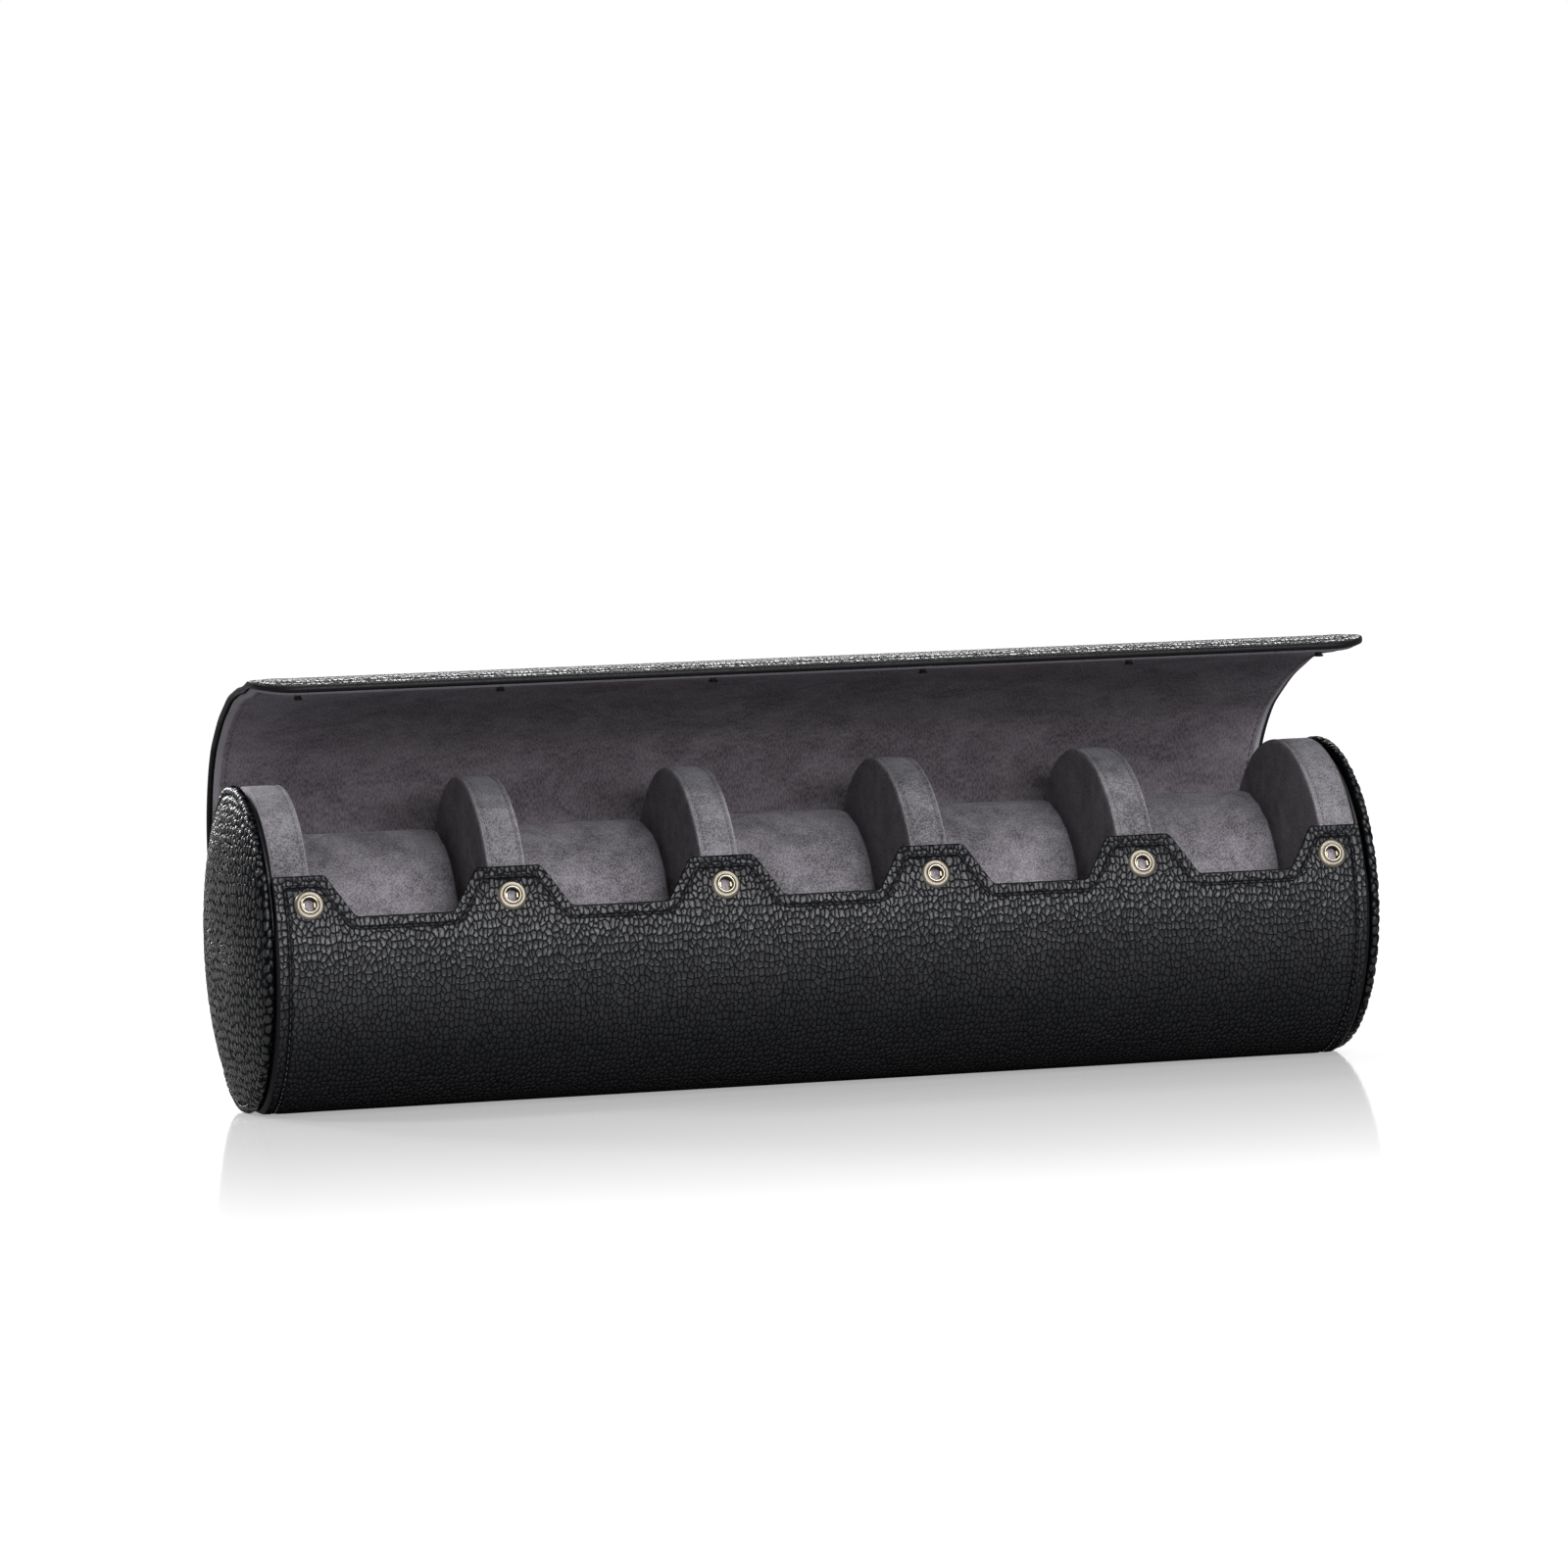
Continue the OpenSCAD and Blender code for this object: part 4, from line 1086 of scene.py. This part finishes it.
def make_cushion(number):
    """Foam roll in a tight suede cover, which a watch strap closes round."""
    middle, half, (points, faces) = cushion_shape(number)
    piece = outwards(mesh_piece(f"cushion_{number}", points, faces, [CUSHION_SUEDE]))
    filled(piece)
    subdivide = piece.modifiers.new("smooth", "SUBSURF")
    subdivide.levels = subdivide.render_levels = 1
    mesh = bake(piece)
    # The dividers hold the ends flat
    co = np.array([v.co for v in mesh.vertices], float) / MM
    co[:, 0] = np.clip(co[:, 0], middle - half, middle + half)
    mesh.vertices.foreach_set("co", (co * MM).ravel())
    set_attribute(mesh, "cut", "FLOAT_VECTOR", co[:, [0, 2, 1]])
    shade_smooth(mesh)
    mesh.materials.clear()
    mesh.materials.append(CUSHION_SUEDE)
    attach(piece, f"cushion_{number}")
    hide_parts(f"cushion_{number}_core", f"cushion_{number}_cover")


# ---------------------------------------------------------------- lid
def lid_half(angle):
    """Half the lid's length, which grows evenly from the hinge to the front edge."""
    return SHELL_HALF + LID_OVERHANG * (HINGE_A - np.asarray(angle, float)) / (HINGE_A - LID_FRONT_A)


def corner_cut(from_side, radius):
    """How far a rounded corner takes the front edge back, by the distance from the side."""
    inside = np.clip(radius - from_side, 0, radius)
    return radius - np.sqrt(radius**2 - inside**2)


# Distances from an edge at which the lid's mesh has rows or columns
LID_NEAR = np.array([0, .25, .6, 1, 1.5, 2, 2.5, 2.9, 3.3, 3.7, 4.1, 4.7, 5.5, 6.5, 8, 10, 13, 17])
LID_MM_PER_DEGREE = math.radians(LID_R)


def lid_grid(start_a, end_a, inset, front, steps):
    """Places on one stretch of the lid: x, angle, distance to the edge and place on the flat pattern."""
    front_half = float(lid_half(LID_FRONT_A)) - inset
    even_x = np.linspace(-front_half + LID_NEAR[-1], front_half - LID_NEAR[-1], 110)
    share = np.concatenate([-front_half + LID_NEAR[:-1], even_x, (front_half - LID_NEAR[:-1])[::-1]])
    share /= front_half
    front_at = LID_FRONT_A + inset / LID_MM_PER_DEGREE
    rows = np.linspace(start_a, end_a, steps)
    if front:
        near = front_at + LID_NEAR[::-1] / LID_MM_PER_DEGREE
        rows = np.concatenate([np.linspace(start_a, near[0], steps)[:-1], near])
    rows = rows[:, None]
    half = lid_half(rows) - inset
    x = share * half
    from_side = half - np.abs(x)
    angle = np.broadcast_to(rows, x.shape)
    radius = LID_CORNER_R - inset
    if front:
        back = corner_cut(from_side, radius) / LID_MM_PER_DEGREE
        angle = start_a - (start_a - angle) * (start_a - front_at - back) / (start_a - front_at)
    to_front = (angle - front_at) * LID_MM_PER_DEGREE
    in_corner = (from_side < radius) & (to_front < radius)
    edge = np.where(in_corner, radius - np.hypot(radius - from_side, radius - to_front),
                    np.minimum(from_side, to_front))
    cut = np.stack([x, (HINGE_A - angle) * LID_MM_PER_DEGREE, np.zeros_like(x)], axis=-1)
    return x, angle, np.maximum(edge, 0), cut


# The lid's stretches with the angles at which they start and end, and their rows
LID_ZONES = (
    ("rear", LID_REAR_A, BEND_REAR_FROM, 58),
    ("middle", BEND_REAR_FROM, BEND_MEET_A, 36),
    ("front", BEND_MEET_A, LID_FRONT_A, 40),
)


def follow_lid(piece, zone):
    """Ties the rear stretch of the lid to the lid's back; the middle and front stretches are only fixed where
    they lie.
    """
    if zone == "rear":
        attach(piece, "lid_back")
    elif zone == "middle":
        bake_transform(piece)
    else:
        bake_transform(piece)


def make_lid():
    """Leather over board, and a suede lining that stops short of the leather's edge."""
    cad = {"rear": "lid_back", "middle": "lid_middle", "front": "lid_front"}
    for zone, start_a, end_a, steps in LID_ZONES:
        front = zone == "front"
        square = ["first_row"] if zone != "rear" else []
        if not front:
            square.append("last_row")
        x, angle, edge, cut = lid_grid(start_a, end_a, 0, front, steps)
        lift = sewn_relief(edge) - 0.25 * np.exp(-edge / 0.5)
        outer = in_space(x, lid_section(LID_R + lift, angle))
        inner = in_space(x, lid_section(LID_LEATHER_R, angle))
        leather = thick_sheet(f"lid_leather_{zone}", outer, inner, cut, edge,
                              [LID_LEATHER, EDGE_PAINT, EDGE_PAINT], square)
        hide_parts(f"{cad[zone]}_leather", f"{cad[zone]}_board")
        follow_lid(leather, zone)

        # The seam pulls a groove into the lining, and its turned edge sinks to the leather
        x, angle, edge, cut = lid_grid(start_a, end_a, LINING_INSET, front, steps)
        sink = 0.32 * np.exp(-(((edge - STITCH_INSET) / 0.6) ** 2)) + 1.1 * (1 - smooth(edge / 2.4))
        outer = in_space(x, lid_section(LID_LEATHER_R - 0.03, angle))
        inner = in_space(x, lid_section(LID_INNER_R + sink, angle))
        # The lining's suede is written lighter, as painted light, with a painted highlight along its turned
        # edge
        lining = thick_sheet(f"lid_lining_{zone}", outer, inner, cut, edge, [LINING_SUEDE_PAINTED_LIGHT] * 3, square)
        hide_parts(f"{cad[zone]}_lining")
        follow_lid(lining, zone)


# Angles at which the hinge strip lies on the shell and on the lid
HINGE_ON_SHELL = (206.5, 195)
HINGE_ON_LID = (186, 178.5)
HINGE_LEATHER = 1.2


def lengths_along(line):
    """Length along a path of points from its start to each point."""
    return np.concatenate([[0], np.cumsum(np.linalg.norm(np.diff(line, axis=0), axis=1))])


def make_hinge():
    """Strip of the same leather, sewn to the shell's back and to the lid, and its suede inner side."""
    on_shell = np.linspace(*HINGE_ON_SHELL, 14)
    on_lid = np.linspace(*HINGE_ON_LID, 10)
    low, high = polar(SHELL_R, on_shell), lid_section(LID_R, on_lid)
    a, b = low[-1], high[0]
    # Between the two it hangs free in a curve that starts and ends flush with them
    reach = np.linalg.norm(b - a) * 0.9
    ta, tb = unit(np.array([low[-1] - low[-2], high[1] - high[0]])) * reach
    t = np.linspace(0, 1, 14)[1:-1, None]
    bridge = ((2 * t**3 - 3 * t**2 + 1) * a + (t**3 - 2 * t**2 + t) * ta
              + (3 * t**2 - 2 * t**3) * b + (t**3 - t**2) * tb)
    line = np.concatenate([low, bridge, high])
    tangent = unit(np.gradient(line, axis=0))
    normal = np.stack([tangent[:, 1], -tangent[:, 0]], axis=-1)
    out_low = polar(1, on_shell)
    outside = np.concatenate([out_low, np.repeat(out_low[-1:], len(t), 0),
                              lid_section(LID_R + 1, on_lid) - high])
    normal *= np.sign((normal * outside).sum(1))[:, None]
    length = lengths_along(line)
    skived = np.minimum(length, length[-1] - length)[:, None]
    thickness = HINGE_LEATHER * (0.45 + 0.55 * smooth(skived / 3))
    half = SHELL_HALF - 0.4
    x = np.linspace(-half, half, 190)
    from_side = half - np.abs(x)
    edge = np.minimum(from_side, skived)
    seam_inset = 2.2
    seam = np.minimum(np.abs(skived - seam_inset), np.abs(from_side - seam_inset))
    lift = thickness - 0.3 * np.exp(-((seam / 0.6) ** 2))
    outer_line = line[:, None] + normal[:, None] * lift[..., None]
    inner_line = np.broadcast_to((line + normal * 0.03)[:, None], outer_line.shape)
    xx = np.broadcast_to(x, edge.shape)
    cut = np.stack([xx, SHELL_BACK_S - length[:, None] + 0 * xx, 0 * xx], axis=-1)
    strip = thick_sheet("hinge_strip", in_space(xx, outer_line), in_space(xx, inner_line), cut, edge,
                        [LID_LEATHER, EDGE_PAINT, EDGE_PAINT])
    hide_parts("hinge_leather")
    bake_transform(strip)

    shell_in = polar(SHELL_R - WALL_LEATHER - WALL_BOARD - WALL_LINING + 0.2, np.array([200, 196, 193.5]))
    lid_in = lid_section(LID_INNER_R + 0.5, np.array([186.5, 184, 180]))
    a, b = shell_in[-1], lid_in[0]
    t = np.linspace(0, 1, 10)[1:-1, None]
    bow = np.array([0.9, 0]) * np.sin(math.pi * t)
    line = np.concatenate([shell_in, a * (1 - t) + b * t + bow, lid_in])
    tangent = unit(np.gradient(line, axis=0))
    normal = np.stack([-tangent[:, 1], tangent[:, 0]], axis=-1)
    normal *= -np.sign(normal[:, :1])
    length = lengths_along(line)
    x = np.linspace(-half + 2, half - 2, 80)
    xx = np.broadcast_to(x, (len(line), len(x)))
    cut = np.stack([xx, SHELL_BACK_S - length[:, None] + 0 * xx, 0 * xx], axis=-1)
    inside, behind = (np.broadcast_to((line + normal * shift)[:, None], (*xx.shape, 2))
                      for shift in (0.5, -0.1))
    lining = thick_sheet("hinge_lining", in_space(xx, inside), in_space(xx, behind), cut,
                         np.full(xx.shape, NO_EDGE), [LINING_SUEDE_PAINTED_LIGHT] * 3)
    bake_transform(lining)


# ---------------------------------------------------------------- press studs
def snap_places():
    """Middle of each press stud along the case."""
    xs = [(i - BAYS / 2) * BAY_PITCH for i in range(1, BAYS)]
    return [-SHELL_HALF + SNAP_END_INSET, *xs, SHELL_HALF - SNAP_END_INSET]


def stud_frame(x):
    """Turns a piece modelled round Z so that it sits on the shell at a press stud."""
    a = math.radians(SNAP_A)
    out = Vector((0, -math.cos(a), math.sin(a)))
    up = Vector((0, math.sin(a), math.cos(a)))
    side = up.cross(out)
    turn = Matrix((side, up, out)).transposed().to_4x4()
    place = Vector((x, 0, AXIS_H)) + out * SHELL_R
    return Matrix.Translation(place * MM) @ turn


def at_studs(points, faces_from):
    """Repeats points modelled round Z at every press stud; faces_from(first) gives a copy's faces."""
    all_points, all_faces = [], []
    for x in snap_places():
        all_faces += faces_from(len(all_points))
        place = stud_frame(x)
        all_points += [tuple(place @ (Vector(p) * MM) / MM) for p in points]
    return all_points, all_faces


def punch_holes(piece, radius):
    """Punches the round holes that take the sockets' barrels and the studs."""
    steps = 40
    a = round_turn(steps)
    cylinder = np.concatenate([np.stack([radius * np.cos(a), radius * np.sin(a), np.full(steps, z)], axis=-1)
                               for z in (-5.0, 2.0)])

    def cylinder_faces(first):
        ends = [tuple(first + i for i in reversed(range(steps))),
                tuple(first + steps + i for i in range(steps))]
        return grid_faces(2, steps, first, wrap=True) + ends

    points, faces = at_studs(cylinder, cylinder_faces)
    punch = outwards(mesh_piece("hole_punch", points, faces, list(piece.data.materials)))
    hole = piece.modifiers.new("holes", "BOOLEAN")
    hole.operation = "DIFFERENCE"
    hole.solver = "MANIFOLD"
    hole.object = punch
    bake(piece)
    bpy.data.objects.remove(punch)


# A socket's section as (radius, height, how light its colour is): the hole, the raised ring round it,
# the recess, the rolled rim and the barrel that goes through the leather
SOCKET_SECTION = (
    (2.0, -1.2, 0.1), (SOCKET_HOLE_R, -1.1, 0.1), (SOCKET_HOLE_R, 0.62, 0.2), (2.3, 0.86, 0.7),
    (2.5, 0.98, 1.0), (2.75, 1.0, 1.0), (2.95, 0.9, 0.7), (3.05, 0.72, 0.25), (3.2, 0.6, 0.15),
    (3.45, 0.62, 0.3), (3.8, 0.66, 0.45), (4.15, 0.6, 0.45), (4.5, 0.45, 0.4), (4.8, 0.22, 0.4),
    (4.96, -0.02, 0.3), (5.0, -0.2, 0.2), (4.8, -0.3, 0.1), (2.9, -0.3, 0.1), (2.9, -1.2, 0.1),
)


def make_sockets():
    """Nickel sockets: a spun flange with a rolled rim and a raised ring round the hole."""
    steps = 64
    a = round_turn(steps)
    rings = np.concatenate([np.stack([r * np.cos(a), r * np.sin(a), np.full(steps, h)], axis=-1)
                            for r, h, _ in SOCKET_SECTION])
    points, faces = at_studs(rings, lambda first: ring_faces(len(SOCKET_SECTION), steps, first))
    piece = outwards(mesh_piece("socket_flanges", points, faces, [NICKEL]))
    lightness_rows = np.repeat([ring_lightness for _, _, ring_lightness in SOCKET_SECTION], steps)
    set_attribute(piece.data, "ring_lightness", "FLOAT", np.tile(lightness_rows, len(snap_places())))
    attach(piece, "case")
    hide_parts("snap_sockets")


# ---------------------------------------------------------------- stitches
def stitch_tree():
    """Geometry Nodes that lay stitches along a path, evenly spaced and slightly uneven in angle."""
    tree = bpy.data.node_groups.new("row_of_stitches", "GeometryNodeTree")
    sockets = {}
    for name, kind in (("Path", "Geometry"), ("Pitch", "Float"), ("Length", "Float"), ("Thread", "Float"),
                       ("Seed", "Int"), ("Material", "Material")):
        made = tree.interface.new_socket(name, in_out="INPUT", socket_type=f"NodeSocket{kind}")
        sockets[name] = made.identifier
    tree.interface.new_socket("Stitches", in_out="OUTPUT", socket_type="NodeSocketGeometry")
    given = add(tree, "NodeGroupInput").node.outputs
    curve = add(tree, "GeometryNodeMeshToCurve", {"Mesh": given["Path"]})
    spaced = add(tree, "GeometryNodeResampleCurve", {"Curve": curve, "Length": given["Pitch"]}, mode="LENGTH")
    along = add(tree, "GeometryNodeInputTangent")
    out = add(tree, "GeometryNodeInputNamedAttribute", {"Name": "out"}, data_type="FLOAT_VECTOR")
    lie = add(tree, "FunctionNodeAlignRotationToVector", {"Vector": along}, axis="X")
    stand = add(tree, "FunctionNodeAlignRotationToVector", {"Rotation": lie, "Vector": out},
                axis="Z", pivot_axis="X")
    # The Random Value node's lowest and highest number are its sockets 2 and 3
    sway = add(tree, "FunctionNodeRandomValue", {2: -STITCH_SWAY, 3: STITCH_SWAY, "Seed": given["Seed"]},
               1, data_type="FLOAT")
    turn = add(tree, "FunctionNodeEulerToRotation", {0: add(tree, "ShaderNodeCombineXYZ", {"Z": sway})})
    facing = add(tree, "FunctionNodeRotateRotation", (stand, turn), rotation_space="LOCAL")
    ball = add(tree, "GeometryNodeMeshUVSphere", {"Segments": 6, "Rings": 5, "Radius": 0.5})
    size = add(tree, "ShaderNodeCombineXYZ", (given["Length"], given["Thread"], given["Thread"]))
    grain = add(tree, "GeometryNodeTransform", {"Geometry": ball, "Scale": size})
    placed = add(tree, "GeometryNodeInstanceOnPoints",
                 {"Points": spaced, "Instance": grain, "Rotation": facing})
    real = add(tree, "GeometryNodeRealizeInstances", {"Geometry": placed})
    done = add(tree, "GeometryNodeSetMaterial", {"Geometry": real, "Material": given["Material"]})
    add(tree, "NodeGroupOutput", {"Stitches": done})
    return tree, sockets


STITCHES, STITCH_SOCKETS = stitch_tree()


def sew(name, paths, outs, material, length=STITCH_L, pitch=STITCH_PITCH, thread=STITCH_THREAD, seed=7):
    """One mesh of stitches along several paths; outs are the directions the thread faces."""
    mesh = bpy.data.meshes.new(name)
    points, edges, facing = [], [], []
    for path, out in zip(paths, outs):
        first = len(points)
        points += [tuple(p * MM) for p in path]
        edges += [(first + k, first + k + 1) for k in range(len(path) - 1)]
        facing += [tuple(o) for o in out]
    mesh.from_pydata(points, edges, [])
    set_attribute(mesh, "out", "FLOAT_VECTOR", facing)
    row = bpy.data.objects.new(name, mesh)
    bpy.context.scene.collection.objects.link(row)
    modifier = row.modifiers.new("stitches", "NODES")
    modifier.node_group = STITCHES
    for socket, value in (("Pitch", pitch * MM), ("Length", length * MM), ("Thread", thread * MM),
                          ("Seed", seed), ("Material", material)):
        modifier[STITCH_SOCKETS[socket]] = value
    shade_smooth(bake(row))
    return row


def offset_path(path, distance):
    """A flat path moved to the side below it, without loops at its corners."""
    tangent = unit(np.gradient(path, axis=0))
    moved = path + np.stack([tangent[:, 1], -tangent[:, 0]], axis=-1) * distance
    keep = distance_to(moved, path) > distance - 0.08
    return moved[keep]


def faced(section):
    """Section directions (y, z) as directions in space."""
    return np.stack([0 * section[:, 0], section[:, 0], section[:, 1]], axis=-1)


def sew_shell():
    """Stitches that follow the scalloped edge and both ends of the shell."""
    path = offset_path(scallop_on_pattern(0.7), STITCH_INSET)
    path = path[np.abs(path[:, 0]) < SHELL_HALF - STITCH_INSET]
    paths, outs = [], []
    lines = [(path[:, 0], path[:, 1])]
    low_s = np.linspace(path[0, 1], SHELL_BACK_S + 12, 260)
    for side in (-1, 1):
        lines.append((np.full_like(low_s, side * (SHELL_HALF - STITCH_INSET)), low_s))
    for x, s in lines:
        face = shell_profile(s, STITCH_SINK)
        paths.append(in_space(x, face))
        outs.append(faced(shell_profile(s, STITCH_SINK - 1) - face))
    row = sew("shell_stitches", paths, outs, BLACK_THREAD)
    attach(row, "case")


def lid_seams(zone, start_a, end_a, inset, across_rear):
    """Lines of (x, angle) along both sides of a stretch of the lid and, at the front, round its edge."""
    stop = end_a + (LID_CORNER_R / LID_MM_PER_DEGREE if zone == "front" else 0)
    start = start_a - (inset / LID_MM_PER_DEGREE if zone == "rear" else 0)
    angle = np.linspace(start, stop, 60)
    lines = [(side * (lid_half(angle) - inset), angle) for side in (-1, 1)]
    if zone == "front":
        turn = np.linspace(0, math.pi / 2, 14)
        r = LID_CORNER_R - inset
        corner_x = float(lid_half(LID_FRONT_A)) - LID_CORNER_R + r * np.cos(turn)
        corner_a = LID_FRONT_A + (LID_CORNER_R - r * np.sin(turn)) / LID_MM_PER_DEGREE
        straight = np.linspace(corner_x[-1], -corner_x[-1], 200)[1:-1]
        lines.append((np.concatenate([corner_x, straight, -corner_x[::-1]]),
                      np.concatenate([corner_a, np.full(len(straight), corner_a[-1]), corner_a[::-1]])))
    if across_rear:
        lines.append((np.linspace(-1, 1, 200) * (float(lid_half(start)) - inset), np.full(200, start)))
    return lines


def sew_lid():
    """Stitches round the lid's leather and round its lining, a row for each stretch."""
    for zone, start_a, end_a, _ in LID_ZONES:
        for part, radius, face_out, inset, material in (
                ("leather", LID_R - STITCH_SINK, 1, STITCH_INSET, BLACK_THREAD),
                ("lining", LID_INNER_R + LINING_STITCH_SINK, -1, STITCH_INSET + LINING_INSET, GREY_THREAD)):
            paths, outs = [], []
            across_rear = zone == "rear" and part == "lining"
            for x, angle in lid_seams(zone, start_a, end_a, inset, across_rear):
                face = lid_section(radius, angle)
                paths.append(in_space(x, face))
                outs.append(faced((lid_section(radius + 1, angle) - face) * face_out))
            row = sew(f"lid_{part}_stitches_{zone}", paths, outs, material)
            follow_lid(row, zone)


def sew_dividers():
    """Fine stitches along both raised seams of each divider's band, where it stands out of the shell."""
    paths, outs = [], []
    angles = np.radians(np.linspace(24, 178, 220))
    out_of_case = np.stack([-np.cos(angles), np.sin(angles)], axis=-1)
    seam_deep = 0.42
    section = (divider_radius(angles) - seam_deep)[:, None] * out_of_case
    for number in range(1, BAYS + 2):
        low, high = node_box(f"divider_{number}_band")
        for x in (low[0] + 2, high[0] - 2):
            paths.append(in_space(x, section))
            outs.append(faced(out_of_case))
    row = sew("divider_stitches", paths, outs, GREY_THREAD, length=1.5, pitch=2.1, thread=0.34, seed=11)
    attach(row, "case")


# ---------------------------------------------------------------- CAD pieces that stay
def finish_cad_pieces():
    """Gives the small metal pieces that stay as they are in the frame their own finish."""
    finishes = {"snap_springs": SPRING_BRASS, "socket_posts": RIVET_STEEL,
                "snap_studs": STUD_METAL, "stud_backs": RIVET_STEEL}
    for name, material in finishes.items():
        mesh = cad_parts[name].data
        mesh.materials.clear()
        mesh.materials.append(material)


# ---------------------------------------------------------------- studio
def seen_ray(tree):
    """1 for rays that show a surface to the camera, straight or in a mirror or through glass."""
    rays = add(tree, "ShaderNodeLightPath").node.outputs
    seen = add(tree, "ShaderNodeMath", (rays["Is Camera Ray"], rays["Is Glossy Ray"]), operation="MAXIMUM")
    return add(tree, "ShaderNodeMath", (seen, rays["Is Transmission Ray"]), operation="MAXIMUM")


def studio_floor():
    """Matt white paper with a faint polish near the case, which shows its mirror image."""
    material, tree, shader = new_material("studio_floor")
    seen = seen_ray(tree)
    set_inputs(shader, {
        "Roughness": 0.6,
        "Specular IOR Level": 0.0,
        "Base Color": add(tree, "ShaderNodeMix", {0: seen, 6: linear("#606062"), 7: linear("#ececec")},
                          **COLOURS),
    })
    place = add(tree, "ShaderNodeTexCoord", (), "Object")
    place = add(tree, "ShaderNodeSeparateXYZ", (place,)).node.outputs
    beside = add(tree, "ShaderNodeMath", (place[0],), operation="ABSOLUTE")
    beside = add(tree, "ShaderNodeMath", (beside, SHELL_HALF * MM), operation="SUBTRACT")
    beside = add(tree, "ShaderNodeMath", (beside, 0), operation="MAXIMUM")
    away = add(tree, "ShaderNodeCombineXYZ", (beside, place[1]))
    away = add(tree, "ShaderNodeVectorMath", (away,), "Value", operation="LENGTH")
    glow = add(tree, "ShaderNodeMapRange", (away, *FLOOR_GLOW_REACH, FLOOR_LIFT, FLOOR_LIFT_FAR), **SMOOTHLY)
    white = add(tree, "ShaderNodeEmission", {"Color": (1, 1, 1, 1), "Strength": glow})
    share = add(tree, "ShaderNodeMath", (seen, FLOOR_LIFT_SHARE), operation="MULTIPLY")
    lifted = add(tree, "ShaderNodeMixShader", (share, shader.outputs[0], white))
    near = add(tree, "ShaderNodeMapRange", (away, 0.0, FLOOR_POLISH_REACH, FLOOR_POLISH, 0.0), **SMOOTHLY)
    straight = add(tree, "ShaderNodeLightPath", (), "Is Camera Ray")
    polish = add(tree, "ShaderNodeMath", (near, straight), operation="MULTIPLY")
    gloss = add(tree, "ShaderNodeBsdfGlossy", {"Color": (1, 1, 1, 1), "Roughness": 0.07})
    polished = add(tree, "ShaderNodeMixShader", (polish, lifted, gloss))
    set_inputs(tree.nodes["Material Output"], {"Surface": polished})
    return material


def make_studio():
    """Pale floor, white surroundings and large soft lamps."""
    scene = bpy.context.scene
    bpy.ops.mesh.primitive_plane_add(size=14, location=(0, 3, 0))
    floor = bpy.context.object
    floor.name = "floor"
    floor.data.transform(floor.matrix_world)
    floor.matrix_world = Matrix.Identity(4)
    floor.data.materials.append(studio_floor())

    world = bpy.data.worlds.new("studio")
    scene.world = world
    world.use_nodes = True
    tree = world.node_tree
    strength = add(tree, "ShaderNodeMapRange", (seen_ray(tree), 0.0, 1.0, AROUND_LIGHT, 1.0), **SMOOTHLY)
    set_inputs(tree.nodes["Background"], {"Color": (1, 1, 1, 1), "Strength": strength})

    for name, place, aim, size, level in LAMPS:
        lamp = bpy.data.lights.new(name, "AREA")
        lamp.shape = "RECTANGLE"
        lamp.size, lamp.size_y = size
        reach = Vector(aim) - Vector(place)
        lamp.energy = level * math.pi**2 * reach.length_squared
        holder = bpy.data.objects.new(name, lamp)
        holder.location = place
        holder.rotation_euler = reach.to_track_quat("-Z", "Y").to_euler()
        scene.collection.objects.link(holder)
    scene.view_settings.view_transform = "Standard"


def make_camera():
    """A long lens, slightly above the case and to its left, leaning a little to one side."""
    place = Vector((-557.0, -2104.7, 180.6)) * MM
    aim = Vector((-0.8, 1.6, 99.0)) * MM
    lean = math.radians(-2.12)
    data = bpy.data.cameras.new("camera")
    data.lens = 150.05
    data.sensor_width = 36
    data.clip_end = 30
    camera = bpy.data.objects.new("camera", data)
    turn = (aim - place).to_track_quat("-Z", "Y").to_matrix().to_4x4()
    camera.matrix_world = Matrix.Translation(place) @ turn @ Matrix.Rotation(lean, 4, "Z")
    bpy.context.scene.collection.objects.link(camera)
    bpy.context.scene.camera = camera


make_camera()
make_studio()
make_shell()
make_cap(-1, "left")
make_cap(1, "right")
for divider in range(1, BAYS + 2):
    make_divider(divider)
for cushion in range(1, BAYS + 1):
    make_cushion(cushion)
make_lid()
make_hinge()
make_sockets()
sew_shell()
sew_lid()
sew_dividers()
finish_cad_pieces()
